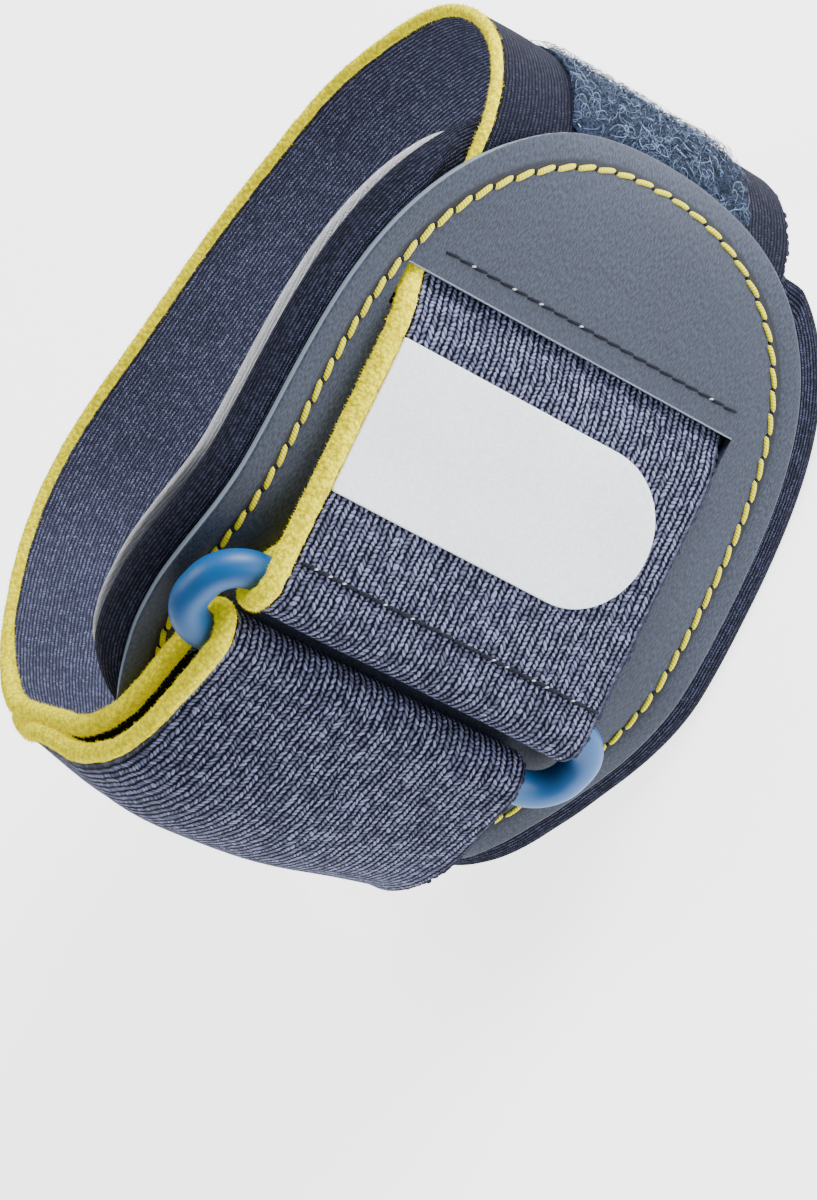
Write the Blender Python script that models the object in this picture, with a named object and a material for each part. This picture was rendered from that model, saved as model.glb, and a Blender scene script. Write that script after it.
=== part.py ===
"""Tennis elbow strap: a padded shell on a webbing band that closes through a ring.

Every layer is set off from one curve, the loop route, which is the middle of the webbing on its
way round the forearm. The model is made with the arm's axis along Z, the padded shell to the
front at low Y, and is then tipped so that it rests on its side by itself. Metres, +Z up.
"""
import math

import bmesh
import bpy
import numpy as np
from mathutils import Matrix, Vector

MM = 0.001

# The loop, measured over the middle of the webbing
LOOP_LENGTH = 110.0 * MM
LOOP_DEPTH = 74.0 * MM

# Webbing
STRAP_THICKNESS = 1.3 * MM
MAIN_STRAP_WIDTH = 47.5 * MM
RING_STRAP_WIDTH = 50.0 * MM
EDGE_WIDTH = 2.4 * MM
FOLD_LIFT = 1.2 * MM
FOLD_LIFT_LENGTH = 50.0 * MM
FREE_END_LENGTH = 52.0 * MM
FOLD_TAPER = 36.0 * MM
FREE_END_SPREAD = 2.5 * MM
SEWN_END_LENGTH = 7.5 * MM
JOIN_PAST_SLOT = 9.0 * MM

# Shell, pad and lining
SHELL_LENGTH = 105.5 * MM
SHELL_WIDTH = 69.2 * MM
SHELL_THICKNESS = 1.3 * MM
SHELL_MIDDLE = -4.3 * MM
SHELL_SHIFT = -2.3 * MM
LEAD_LENGTH = SHELL_LENGTH / 5
SLOT_PLACE = 20.0 * MM
SLOT_RUN = 5.5 * MM
PAD_THICKNESS = 3.8 * MM
PAD_MARGIN = 4.3 * MM
LINING_THICKNESS = 1.0 * MM
LINING_INSET = 2.7 * MM

# Ring
RING_TUBE = 4.8 * MM
RING_LENGTH = 63.0 * MM
RING_WIDTH = 16.0 * MM
RING_CORNER = 4.5 * MM
RING_PLACE = -16.0 * MM

# Trim
LABEL_LENGTH = 43.5 * MM
LABEL_WIDTH = 20.4 * MM
LABEL_THICKNESS = 0.6 * MM
LABEL_PLACE = 4.2 * MM
LABEL_EDGE_GAP = 0.4 * MM
PILE_WIDTH = 28.0 * MM
PILE_THICKNESS = 0.9 * MM
TAB_LENGTH = 24.0 * MM
TAB_WIDTH = 26.0 * MM
TAB_THICKNESS = 1.2 * MM

CLEARANCE = 0.3 * MM
REST_FLAT = 0.7 * MM
REST_ROLLS = 4
STATION_STEP = 3.5 * MM
SLOT_STEP = 1.6 * MM
ROUTE_STEP = 0.5 * MM
FOLD_STATIONS = 11
OUTSIDE_STATIONS = 8
CORNER_STATIONS = 6
RING_SIDES = 10
LABEL_STATIONS = 13
TAB_STATIONS = 9
TAB_STRAIGHT_SHARE = 0.6
TAB_END_SHARE = 0.4
CURVE_SAMPLES = 12

# Loop route: shares of half LOOP_LENGTH and of LOOP_DEPTH, from the shell's lower end, over the
# front and the top turn, round the back and down to where the webbing comes back to the ring
LOOP_ROUTE = (
    # (along, deep)
    (-0.786, 0.560),
    (-0.788, 0.500),
    (-0.782, 0.439),
    (-0.756, 0.385),
    (-0.724, 0.341),
    (-0.678, 0.308),
    (-0.622, 0.282),
    (-0.562, 0.259),
    (-0.502, 0.232),
    (-0.438, 0.203),
    (-0.371, 0.168),
    (-0.302, 0.134),
    (-0.227, 0.104),
    (-0.155, 0.086),
    (-0.055, 0.078),
    (0.091, 0.076),
    (0.320, 0.076),
    (0.545, 0.076),
    (0.651, 0.079),
    (0.735, 0.086),
    (0.800, 0.101),
    (0.865, 0.132),
    (0.925, 0.180),
    (0.969, 0.241),
    (0.994, 0.327),
    (0.989, 0.423),
    (0.956, 0.497),
    (0.904, 0.562),
    (0.813, 0.646),
    (0.720, 0.707),
    (0.589, 0.765),
    (0.444, 0.819),
    (0.287, 0.866),
    (0.127, 0.907),
    (-0.027, 0.946),
    (-0.145, 0.977),
    (-0.255, 0.998),
    (-0.360, 1.004),
    (-0.445, 0.997),
    (-0.524, 0.980),
    (-0.598, 0.954),
    (-0.673, 0.916),
    (-0.735, 0.878),
    (-0.789, 0.834),
    (-0.840, 0.777),
    (-0.873, 0.720),
    (-0.889, 0.654),
)

# Outline of the shell: a superellipse, squarer toward the slot than toward the ring
OUTLINE_SIDE_POWER = 2.1
OUTLINE_TOP_POWER = 3.3
OUTLINE_BOTTOM_POWER = 3.05
OUTLINE_STATIONS = 34

# Rim of the pad: share of its thickness from the shell side, share of PAD_MARGIN drawn in
PAD_RIM = (
    # (down, drawn_in)
    (0.00, 0.50),
    (0.18, 0.12),
    (0.42, 0.00),
    (0.72, 0.10),
    (1.00, 0.36),
)
# Rim of the shell: share of its thickness, share of it drawn in
SHELL_RIM = (
    # (down, drawn_in)
    (0.00, 0.30),
    (0.35, 0.00),
    (1.00, 0.00),
)

# Depths from the loop route, which is the middle of the webbing; negative is away from the arm
HALF_STRAP = STRAP_THICKNESS / 2
SHELL_INNER = -(HALF_STRAP + CLEARANCE)
SHELL_OUTER = SHELL_INNER - SHELL_THICKNESS
ON_SHELL = SHELL_OUTER - CLEARANCE - HALF_STRAP
LAYER_PITCH = STRAP_THICKNESS + CLEARANCE
FOLD_RADIUS = RING_TUBE / 2 + CLEARANCE + HALF_STRAP
RING_DEPTH = ON_SHELL - FOLD_RADIUS
PAD_INNER = HALF_STRAP + CLEARANCE + PAD_THICKNESS
BAR_SPACING = RING_WIDTH - RING_TUBE

# Where the two straps meet under the shell
JOIN_PLACE = SLOT_PLACE + JOIN_PAST_SLOT


def clear_scene():
    """Take every object out of the open scene."""
    for item in list(bpy.data.objects):
        bpy.data.objects.remove(item)


def smooth_step(share):
    """0 below 0, 1 above 1, and an even S between."""
    share = np.clip(share, 0.0, 1.0)
    return share * share * (3.0 - 2.0 * share)


def curve_through(points, step):
    """Centripetal Catmull-Rom curve through the points, read off at even steps of about step."""
    points = np.asarray(points, dtype=float)
    ends = np.vstack((2 * points[0] - points[1], points, 2 * points[-1] - points[-2]))
    dense = []
    for index in range(len(points) - 1):
        p0, p1, p2, p3 = ends[index:index + 4]
        t1 = np.linalg.norm(p1 - p0) ** 0.5
        t2 = t1 + np.linalg.norm(p2 - p1) ** 0.5
        t3 = t2 + np.linalg.norm(p3 - p2) ** 0.5
        t = np.linspace(t1, t2, CURVE_SAMPLES, endpoint=False)[:, None]
        a1 = (t1 - t) / t1 * p0 + t / t1 * p1
        a2 = (t2 - t) / (t2 - t1) * p1 + (t - t1) / (t2 - t1) * p2
        a3 = (t3 - t) / (t3 - t2) * p2 + (t - t2) / (t3 - t2) * p3
        b1 = (t2 - t) / t2 * a1 + t / t2 * a2
        b2 = (t3 - t) / (t3 - t1) * a2 + (t - t1) / (t3 - t1) * a3
        dense.append((t2 - t) / (t2 - t1) * b1 + (t - t1) / (t2 - t1) * b2)
    dense.append(points[-1:])
    return even(np.vstack(dense), step)


def lengths(path):
    """Length along the path up to each of its points."""
    return np.concatenate(([0.0], np.cumsum(np.linalg.norm(np.diff(path, axis=0), axis=1))))


def even(path, step):
    """The same path with points at even steps of about the given length."""
    run = lengths(path)
    count = max(2, int(round(run[-1] / step)) + 1)
    stops = np.linspace(0.0, run[-1], count)
    return np.column_stack([np.interp(stops, run, path[:, axis]) for axis in (0, 1)])


def tangents(path):
    """Unit direction of the path at each of its points."""
    direction = np.gradient(path, axis=0)
    return direction / np.linalg.norm(direction, axis=1)[:, None]


def inward(direction):
    """The direction turned to the arm's side, a quarter turn to the left."""
    return np.column_stack((-direction[:, 1], direction[:, 0]))


class Loop:
    """The loop route, read by the length from the point where it passes the ring strap's middle.

    A straight lead before its first point carries a shell that is longer than the route.
    """

    def __init__(self):
        route = np.array(LOOP_ROUTE) * (LOOP_LENGTH / 2, LOOP_DEPTH)
        curve = curve_through(route, ROUTE_STEP)
        steps = np.arange(int(round(LEAD_LENGTH / ROUTE_STEP)), 0, -1)[:, None]
        lead = curve[0] + (curve[0] - curve[1]) * steps
        self.path = np.vstack((lead, curve))
        run = lengths(self.path)
        front = self.path[:, 1] < LOOP_DEPTH / 5
        middle = np.interp(0.0, self.path[front, 0], run[front])
        self.run = run - middle
        self.normal = inward(tangents(self.path))

    def at(self, run, depth):
        """Points at the given lengths along the route and depths toward the arm."""
        run = np.atleast_1d(run)
        depth = np.broadcast_to(depth, run.shape)
        centre = np.column_stack([np.interp(run, self.run, self.path[:, axis]) for axis in (0, 1)])
        normal = np.column_stack([np.interp(run, self.run, self.normal[:, axis]) for axis in (0, 1)])
        return centre + normal * depth[:, None]


def finish(name, mesh_builder, colour, roughness, metallic=0.0):
    """Turn a bmesh into a named object with its own material."""
    bmesh.ops.recalc_face_normals(mesh_builder, faces=mesh_builder.faces)
    mesh = bpy.data.meshes.new(name)
    mesh_builder.to_mesh(mesh)
    mesh_builder.free()
    material = bpy.data.materials.new(name)
    material.use_nodes = True
    shader = material.node_tree.nodes["Principled BSDF"]
    shader.inputs["Base Color"].default_value = (*colour, 1.0)
    shader.inputs["Roughness"].default_value = roughness
    shader.inputs["Metallic"].default_value = metallic
    mesh.materials.append(material)
    item = bpy.data.objects.new(name, mesh)
    bpy.context.scene.collection.objects.link(item)
    return item


def skin(rings, closed=False):
    """Faces round a row of rings of points; the ends are capped unless the row is closed."""
    builder = bmesh.new()
    rows = [[builder.verts.new(point) for point in ring] for ring in rings]
    sides = len(rows[0])
    pairs = list(zip(rows, rows[1:]))
    if closed:
        pairs.append((rows[-1], rows[0]))
    for low, high in pairs:
        for side in range(sides):
            after = (side + 1) % sides
            builder.faces.new((low[side], low[after], high[after], high[side]))
    if not closed:
        builder.faces.new(rows[0])
        builder.faces.new(rows[-1])
    return builder


def band(path, low, high, thickness):
    """Wall of the given thickness along a path, from height low to height high."""
    normal = inward(tangents(path)) * thickness / 2
    low = np.broadcast_to(low, len(path))
    high = np.broadcast_to(high, len(path))
    rings = []
    for centre, side, bottom, top in zip(path, normal, low, high):
        outer = centre - side
        inner = centre + side
        rings.append(((*outer, bottom), (*inner, bottom), (*inner, top), (*outer, top)))
    return skin(rings)


def outline(margin):
    """Half outline of the shell grown by a margin: lengths from its middle and half widths."""
    angle = np.linspace(0.0, math.pi, OUTLINE_STATIONS)
    power = np.where(angle < math.pi / 2, OUTLINE_TOP_POWER, OUTLINE_BOTTOM_POWER)
    along = np.sign(np.cos(angle)) * np.abs(np.cos(angle)) ** (2 / power)
    across = np.sin(angle) ** (2 / OUTLINE_SIDE_POWER)
    across[[0, -1]] = 0.0
    return along * (SHELL_LENGTH / 2 + margin), across * (SHELL_WIDTH / 2 + margin)


def plate(loop, levels):
    """Plate that follows the loop. Each level is a depth, or one per station, and a margin."""
    builder = bmesh.new()
    rows = []
    for depth, margin in levels:
        along, across = outline(margin)
        points = loop.at(SHELL_MIDDLE + along, depth)
        upper = [builder.verts.new((*point, SHELL_SHIFT + half)) for point, half in zip(points, across)]
        inside = zip(points[1:-1], across[1:-1])
        lower = [builder.verts.new((*point, SHELL_SHIFT - half)) for point, half in inside]
        rows.append((upper, [upper[0], *lower, upper[-1]]))
    for (up_a, down_a), (up_b, down_b) in zip(rows, rows[1:]):
        for index in range(len(up_a) - 1):
            builder.faces.new((up_a[index], up_a[index + 1], up_b[index + 1], up_b[index]))
            builder.faces.new((down_a[index], down_a[index + 1], down_b[index + 1], down_b[index]))
    for upper, lower in (rows[0], rows[-1]):
        last = len(upper) - 1
        builder.faces.new((upper[0], upper[1], lower[1]))
        builder.faces.new((upper[last], upper[last - 1], lower[last - 1]))
        for index in range(1, last - 1):
            builder.faces.new((upper[index], upper[index + 1], lower[index + 1], lower[index]))
    return builder


def pad_outer(run):
    """Depth of the pad's shell side: under the webbing above the slot, close to the shell below."""
    lowered = smooth_step((run - SLOT_PLACE + 2 * SLOT_RUN) / SLOT_RUN)
    return SHELL_INNER + CLEARANCE + lowered * (STRAP_THICKNESS + CLEARANCE)


def make_shell(loop):
    """Curved plate with the slot that the ring strap goes through."""
    levels = [
        (SHELL_OUTER + SHELL_THICKNESS * down, -drawn * SHELL_THICKNESS)
        for down, drawn in SHELL_RIM
    ]
    shell = finish("shell", plate(loop, levels), (0.09, 0.11, 0.16), 0.55)
    slot_length = RING_STRAP_WIDTH + 4 * CLEARANCE
    corners = (
        loop.at(SLOT_PLACE - SLOT_RUN / 2, 2 * SHELL_OUTER)[0],
        loop.at(SLOT_PLACE + SLOT_RUN / 2, 2 * SHELL_OUTER)[0],
        loop.at(SLOT_PLACE + SLOT_RUN / 2, PAD_INNER)[0],
        loop.at(SLOT_PLACE - SLOT_RUN / 2, PAD_INNER)[0],
    )
    ends = (-slot_length / 2, slot_length / 2)
    rings = [[(*corner, height) for corner in corners] for height in ends]
    cutter = finish("slot_cutter", skin(rings), (1.0, 0.0, 0.0), 0.5)
    cutter.hide_render = True
    cutter.display_type = "WIRE"
    cut = shell.modifiers.new("slot", "BOOLEAN")
    cut.operation = "DIFFERENCE"
    cut.object = cutter
    return shell, cutter


def make_pad(loop):
    """Foam pad under the shell, wider than it all round, with a rounded rim."""
    outer = pad_outer(SHELL_MIDDLE + outline(PAD_MARGIN)[0])
    levels = [
        (outer + (PAD_INNER - outer) * down, PAD_MARGIN * (1.0 - drawn))
        for down, drawn in PAD_RIM
    ]
    return finish("pad", plate(loop, levels), (0.03, 0.03, 0.06), 0.9)


def make_lining(loop):
    """Pale sheet on the skin side, whose edge shows past the pad."""
    start = PAD_INNER + CLEARANCE
    levels = [
        (depth, PAD_MARGIN - LINING_INSET)
        for depth in (start, start + LINING_THICKNESS)
    ]
    return finish("lining", plate(loop, levels), (0.5, 0.5, 0.53), 0.85)


def ring_bars(loop):
    """Centres of the two bars, each seated on a strap layer that lies on the shell."""
    upper = loop.at(RING_PLACE, RING_DEPTH)[0]
    seats = loop.at(loop.run[loop.run < RING_PLACE - BAR_SPACING / 2], RING_DEPTH)
    spacing = np.linalg.norm(seats - upper, axis=1)
    lower = seats[np.argmin(np.abs(spacing - BAR_SPACING))]
    return upper, upper + (lower - upper) * BAR_SPACING / np.linalg.norm(lower - upper)


def make_ring(bars):
    """Rounded oblong ring of round tube, in the plane of its two bars."""
    upper, lower = bars
    centre = (upper + lower) / 2
    across = (upper - lower) / np.linalg.norm(upper - lower)
    half_length = (RING_LENGTH - RING_TUBE) / 2
    half_width = BAR_SPACING / 2
    path = []
    for quarter, (sign_u, sign_z) in enumerate(((1, 1), (-1, 1), (-1, -1), (1, -1))):
        for turn in np.linspace(0.0, math.pi / 2, CORNER_STATIONS):
            angle = quarter * math.pi / 2 + turn
            u = sign_u * (half_width - RING_CORNER) + RING_CORNER * math.cos(angle)
            z = sign_z * (half_length - RING_CORNER) + RING_CORNER * math.sin(angle)
            path.append((u, z))
    path = np.array(path)
    direction = np.roll(path, -1, axis=0) - np.roll(path, 1, axis=0)
    direction /= np.linalg.norm(direction, axis=1)[:, None]
    plane_normal = np.array((-across[1], across[0], 0.0))
    rings = []
    for (u, z), (du, dz) in zip(path, direction):
        point = np.array((*(centre + across * u), z))
        outward = np.array((*(across * dz), -du))
        ring = []
        for side in range(RING_SIDES):
            angle = side * 2 * math.pi / RING_SIDES
            spoke = math.cos(angle) * outward + math.sin(angle) * plane_normal
            ring.append(point + RING_TUBE / 2 * spoke)
        rings.append(ring)
    return finish("ring", skin(rings, closed=True), (0.03, 0.15, 0.42), 0.35)


def tangent_angle(centre, target, radius, side):
    """Angle round the circle at which a straight run to the target leaves it."""
    offset = target - centre
    distance = np.linalg.norm(offset)
    return math.atan2(offset[1], offset[0]) + side * math.acos(radius / distance)


def arc(centre, radius, start, end, count):
    """Points round a centre from one angle to another."""
    angle = np.linspace(start, end, count)
    return centre + radius * np.column_stack((np.cos(angle), np.sin(angle)))


def ring_strap_path(loop, upper):
    """Sewn end under the strap, round the upper bar, straight to the slot and under the shell."""
    before_slot = loop.at(SLOT_PLACE - SLOT_RUN / 2 - 2 * CLEARANCE, ON_SHELL)[0]
    top = tangent_angle(upper, before_slot, FOLD_RADIUS, -1)
    leaving = upper + FOLD_RADIUS * np.array((math.cos(top), math.sin(top)))
    run = before_slot - leaving
    run /= np.linalg.norm(run)
    normal = np.array((-run[1], run[0]))
    sewn = leaving + run * SEWN_END_LENGTH + normal * LAYER_PITCH
    bottom = tangent_angle(upper, sewn, FOLD_RADIUS, 1)
    if top < bottom:
        top += 2 * math.pi
    fold = arc(upper, FOLD_RADIUS, bottom, top, FOLD_STATIONS)
    slot = loop.at(
        np.array((SLOT_PLACE, SLOT_PLACE + SLOT_RUN / 2 + 2 * CLEARANCE)),
        np.array((ON_SHELL / 2, 0.0)),
    )
    under = loop.at(np.array((SLOT_PLACE + 1.5 * SLOT_RUN, JOIN_PLACE - CLEARANCE)), 0.0)
    halfway = (fold[-1] + before_slot) / 2
    over = curve_through(np.vstack((fold[-1], halfway, before_slot, slot, under)), SLOT_STEP)
    end = even(np.vstack((sewn, fold[0])), STATION_STEP)
    return np.vstack((end[:-1], fold, over[1:]))


def main_strap_paths(loop, lower, tip_run):
    """Whole path from under the shell round to the ring and back to the free end, and the part
    of it before the ring."""
    bar_run = loop.run[np.argmin(np.linalg.norm(loop.at(loop.run, RING_DEPTH) - lower, axis=1))]
    under = loop.at(np.arange(JOIN_PLACE, loop.run[-1], STATION_STEP), 0.0)
    outside = loop.at(np.linspace(tip_run + 2 * CLEARANCE, bar_run, OUTSIDE_STATIONS), ON_SHELL)
    inner = curve_through(np.vstack((under[:-1], outside)), STATION_STEP)
    direction = tangents(inner)
    normal = inward(direction)
    back = lengths(inner)[-1] - lengths(inner)
    taper = 1.0 - smooth_step(back / FOLD_TAPER)
    spread = LAYER_PITCH + (2 * FOLD_RADIUS - LAYER_PITCH) * taper
    outer = inner - normal * spread[:, None]
    outer = outer[back <= FREE_END_LENGTH][::-1]
    start = math.atan2(*(inner[-1] - lower)[::-1])
    fold = arc(lower, FOLD_RADIUS, start, start - math.pi, FOLD_STATIONS)
    return np.vstack((inner[:-1], fold, outer[1:])), inner


def main_strap_heights(path, fold):
    """Lower and upper edge of the main strap along its path.

    The strap rises a little toward its fold at the ring, and its slack free end is wider.
    """
    run = lengths(path) - lengths(path)[fold]
    rise = smooth_step(1.0 + run / FOLD_LIFT_LENGTH)
    fall = 1.0 - smooth_step(2 * run / FOLD_LIFT_LENGTH)
    lift = FOLD_LIFT * rise * fall
    spread = FREE_END_SPREAD * smooth_step(run / FREE_END_LENGTH)
    return lift - MAIN_STRAP_WIDTH / 2 - spread, lift + MAIN_STRAP_WIDTH / 2


def make_strap(name, path, low, high):
    """Webbing and its coloured edge, side by side along one path."""
    seam = high - EDGE_WIDTH
    body = band(path, low, seam - CLEARANCE, STRAP_THICKNESS)
    webbing = finish(name, body, (0.04, 0.05, 0.12), 0.85)
    edge = finish(name + "_edge", band(path, seam, high, STRAP_THICKNESS), (0.75, 0.72, 0.05), 0.9)
    return webbing, edge


def make_label(loop, path):
    """Blank patch on the ring strap: straight at the coloured edge, round at the other end."""
    front = path[(path[:, 0] > LABEL_PLACE - LABEL_WIDTH) & (path[:, 0] < LABEL_PLACE + LABEL_WIDTH)]
    front = front[front[:, 1] < loop.at(0.0, SHELL_OUTER)[0][1]]
    front = front[np.argsort(front[:, 0])]
    radius = LABEL_WIDTH / 2
    high = RING_STRAP_WIDTH / 2 - EDGE_WIDTH - LABEL_EDGE_GAP
    round_centre = high - LABEL_LENGTH + radius
    turn = np.linspace(0.0, math.pi, LABEL_STATIONS)
    x = LABEL_PLACE + radius * np.cos(turn)
    z_low = round_centre - radius * np.sin(turn)
    steps = np.gradient(front[:, 1]) / np.gradient(front[:, 0])
    y = np.interp(x, front[:, 0], front[:, 1])
    slope = np.arctan(np.interp(x, front[:, 0], steps))
    normal = np.column_stack((-np.sin(slope), np.cos(slope)))
    centre = np.column_stack((x, y)) - normal * (HALF_STRAP + CLEARANCE + LABEL_THICKNESS / 2)
    builder = bmesh.new()
    rows = []
    for side in (-LABEL_THICKNESS / 2, LABEL_THICKNESS / 2):
        points = centre + normal * side
        top = [builder.verts.new((*point, high)) for point in points]
        low = [builder.verts.new((*point, bottom)) for point, bottom in zip(points, z_low)]
        rows.append((top, low))
    for top, low in rows:
        for index in range(len(top) - 1):
            builder.faces.new((top[index], top[index + 1], low[index + 1], low[index]))
    (top_a, low_a), (top_b, low_b) = rows
    rim_a = top_a + low_a[::-1]
    rim_b = top_b + low_b[::-1]
    for index in range(len(rim_a)):
        after = (index + 1) % len(rim_a)
        builder.faces.new((rim_a[index], rim_a[after], rim_b[after], rim_b[index]))
    return finish("label", builder, (0.6, 0.62, 0.68), 0.5)


def make_pile(inner, tip):
    """Loop pile along the outside of the strap, from past the shell to under the hook tab."""
    run = lengths(inner)
    first_third = inner[:len(inner) // 3]
    start = run[np.argmin(np.linalg.norm(first_third - tip, axis=1))] + 2 * CLEARANCE
    end = run[-1] - FREE_END_LENGTH - CLEARANCE - STRAP_THICKNESS
    normal = inward(tangents(inner))
    path = inner - normal * (HALF_STRAP + CLEARANCE + PILE_THICKNESS / 2)
    path = path[(run >= start) & (run <= end)]
    half = PILE_WIDTH / 2
    body = band(path, SHELL_SHIFT - half, SHELL_SHIFT + half, PILE_THICKNESS)
    return finish("loop_pile", body, (0.16, 0.22, 0.33), 0.95)


def make_tab(inner):
    """Hook tab sewn to the free end, lying on the loop pile, with rounded corners."""
    run = lengths(inner)
    normal = inward(tangents(inner))
    depth = HALF_STRAP + 2 * CLEARANCE + PILE_THICKNESS + TAB_THICKNESS / 2
    path = inner - normal * depth
    end = run[-1] - FREE_END_LENGTH - CLEARANCE - STRAP_THICKNESS
    stops = np.linspace(end, end - TAB_LENGTH, TAB_STATIONS)
    path = np.column_stack([np.interp(stops, run, path[:, axis]) for axis in (0, 1)])
    share = (end - stops) / TAB_LENGTH
    rounding = np.clip((share - TAB_STRAIGHT_SHARE) / (1.0 - TAB_STRAIGHT_SHARE), 0.0, 1.0)
    half = TAB_WIDTH / 2 * (TAB_END_SHARE + (1.0 - TAB_END_SHARE) * np.sqrt(1.0 - rounding ** 2))
    body = band(path, SHELL_SHIFT - half, SHELL_SHIFT + half, TAB_THICKNESS)
    return finish("hook_tab", body, (0.05, 0.06, 0.1), 0.8)


def solid_centre(items):
    """Centre of mass of the pieces, all of one density."""
    total = 0.0
    moment = np.zeros(3)
    for item in items:
        mesh = item.data
        mesh.calc_loop_triangles()
        spots = np.array([vertex.co[:] for vertex in mesh.vertices])
        corners = spots[[tuple(triangle.vertices) for triangle in mesh.loop_triangles]]
        normals = np.cross(corners[:, 1], corners[:, 2])
        volume = np.einsum("ij,ij->i", corners[:, 0], normals) / 6
        total += volume.sum()
        moment += (volume[:, None] * corners.sum(axis=1) / 4).sum(axis=0)
    return moment / total


def face_below(points, centre):
    """Outward normal of the hull face that lies straight below the centre."""
    builder = bmesh.new()
    for point in points:
        builder.verts.new(point)
    hull = bmesh.ops.convex_hull(builder, input=builder.verts, use_existing_faces=False)
    faces = [face for face in hull["geom"] if isinstance(face, bmesh.types.BMFace)]
    down = Vector((0.0, 0.0, -1.0))
    best = None
    for face in faces:
        face.normal_update()
        normal = face.normal.copy()
        offset = normal.dot(face.verts[0].co - centre)
        if offset < 0.0:
            normal.negate()
        if normal.dot(down) > 0.0:
            reach = abs(offset) / normal.dot(down)
            if best is None or reach < best[0]:
                best = (reach, normal)
    builder.free()
    return best[1]


def rest_on_side(items):
    """Roll the part onto the face under its centre of mass, flatten the cloth that it rests on
    and centre it over the origin."""
    data = {}
    for item in items:
        values = np.empty(len(item.data.vertices) * 3)
        item.data.vertices.foreach_get("co", values)
        data[item.name] = values.reshape(-1, 3)
    everything = np.vstack(list(data.values()))
    centre = Vector(solid_centre(items))
    turn = Matrix.Identity(3)
    for _ in range(REST_ROLLS):
        normal = face_below(everything @ np.array(turn).T, turn @ centre)
        turn = normal.rotation_difference(Vector((0.0, 0.0, -1.0))).to_matrix() @ turn
    turned = np.array(turn)
    placed = everything @ turned.T
    floor = placed[:, 2].min() + REST_FLAT
    for item in items:
        world = data[item.name] @ turned.T
        world[:, 2] = np.maximum(world[:, 2], floor)
        item.data.vertices.foreach_set("co", (world @ turned).ravel())
        item.data.update()
    frame = bpy.data.objects.new("rest_frame", None)
    bpy.context.scene.collection.objects.link(frame)
    frame.rotation_euler = turn.to_euler()
    middle = (placed.min(axis=0) + placed.max(axis=0)) / 2
    frame.location = (-middle[0], -middle[1], -floor)
    return frame


def main():
    """Build every piece and set the whole down on its side."""
    clear_scene()
    loop = Loop()
    bars = ring_bars(loop)
    tip_run = SHELL_MIDDLE - SHELL_LENGTH / 2
    shell, cutter = make_shell(loop)
    pad = make_pad(loop)
    lining = make_lining(loop)
    ring = make_ring(bars)
    ring_path = ring_strap_path(loop, bars[0])
    half_width = RING_STRAP_WIDTH / 2
    ring_strap = make_strap("ring_strap", ring_path, -half_width, half_width)
    whole, inner = main_strap_paths(loop, bars[1], tip_run)
    main_strap = make_strap("main_strap", whole, *main_strap_heights(whole, len(inner)))
    label = make_label(loop, ring_path)
    tip = loop.at(SHELL_MIDDLE + SHELL_LENGTH / 2, 0.0)[0]
    pile = make_pile(inner, tip)
    tab = make_tab(inner)
    solids = [shell, pad, lining, ring, *ring_strap, *main_strap, label, pile, tab]
    frame = rest_on_side(solids)
    for item in (*solids, cutter):
        item.parent = frame


main()
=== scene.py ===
"""Tennis elbow strap: knit webbing, terry edges, moulded shell, padding, ring and stitching.

Every piece is laid out on the loop, the curve that the webbing follows round the forearm. A place
on it is a run along the curve, a height along the arm and a depth toward the arm. Metres.
"""
import math

import bmesh
import bpy
import numpy as np
from bpy.props import FloatProperty, FloatVectorProperty, IntProperty, PointerProperty
from bpy.types import Operator, Panel, PropertyGroup
from mathutils import Matrix


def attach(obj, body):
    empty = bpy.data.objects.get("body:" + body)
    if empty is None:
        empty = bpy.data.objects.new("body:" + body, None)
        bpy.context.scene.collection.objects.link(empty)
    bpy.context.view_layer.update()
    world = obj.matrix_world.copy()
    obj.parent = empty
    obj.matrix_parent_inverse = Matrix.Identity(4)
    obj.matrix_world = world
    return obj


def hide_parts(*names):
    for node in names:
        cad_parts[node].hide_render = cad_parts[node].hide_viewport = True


bl_info = {
    "name": "Tennis elbow strap",
    "version": (1, 0, 0),
    "blender": (4, 5, 0),
    "location": "View3D > Sidebar > Elbow strap",
    "description": "Builds the finished pieces of a tennis elbow strap round its solid model",
    "category": "Object",
}

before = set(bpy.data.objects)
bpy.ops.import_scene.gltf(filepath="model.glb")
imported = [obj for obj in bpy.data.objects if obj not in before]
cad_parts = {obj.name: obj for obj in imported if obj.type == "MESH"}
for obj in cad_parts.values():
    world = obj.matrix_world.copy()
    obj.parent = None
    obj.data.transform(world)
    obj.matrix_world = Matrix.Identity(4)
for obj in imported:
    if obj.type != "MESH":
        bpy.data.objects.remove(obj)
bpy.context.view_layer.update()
BODY = "root"

MM = 0.001
SEED = 7
FLOOR_GAP = 0.02 * MM
NO_VECTOR = (0.0, 0.0, 0.0)

# The loop, as the solid model has it
LOOP_LENGTH = 110.0 * MM
LOOP_DEPTH = 74.0 * MM
STRAP_THICKNESS = 1.3 * MM
MAIN_STRAP_WIDTH = 47.5 * MM
RING_STRAP_WIDTH = 50.0 * MM
EDGE_WIDTH = 2.4 * MM
FOLD_LIFT = 1.2 * MM
FOLD_LIFT_LENGTH = 50.0 * MM
FREE_END_LENGTH = 52.0 * MM
FREE_END_SPREAD = 2.5 * MM
SEWN_END_LENGTH = 7.5 * MM
JOIN_PLACE = 29.0 * MM
SHELL_LENGTH = 105.5 * MM
SHELL_WIDTH = 69.2 * MM
SHELL_THICKNESS = 1.3 * MM
SHELL_MIDDLE = -4.3 * MM
SHELL_SHIFT = -2.3 * MM
SLOT_PLACE = 20.0 * MM
SLOT_RUN = 5.5 * MM
PAD_THICKNESS = 3.8 * MM
PAD_MARGIN = 4.3 * MM
LINING_THICKNESS = 1.0 * MM
LINING_INSET = 2.7 * MM
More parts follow.
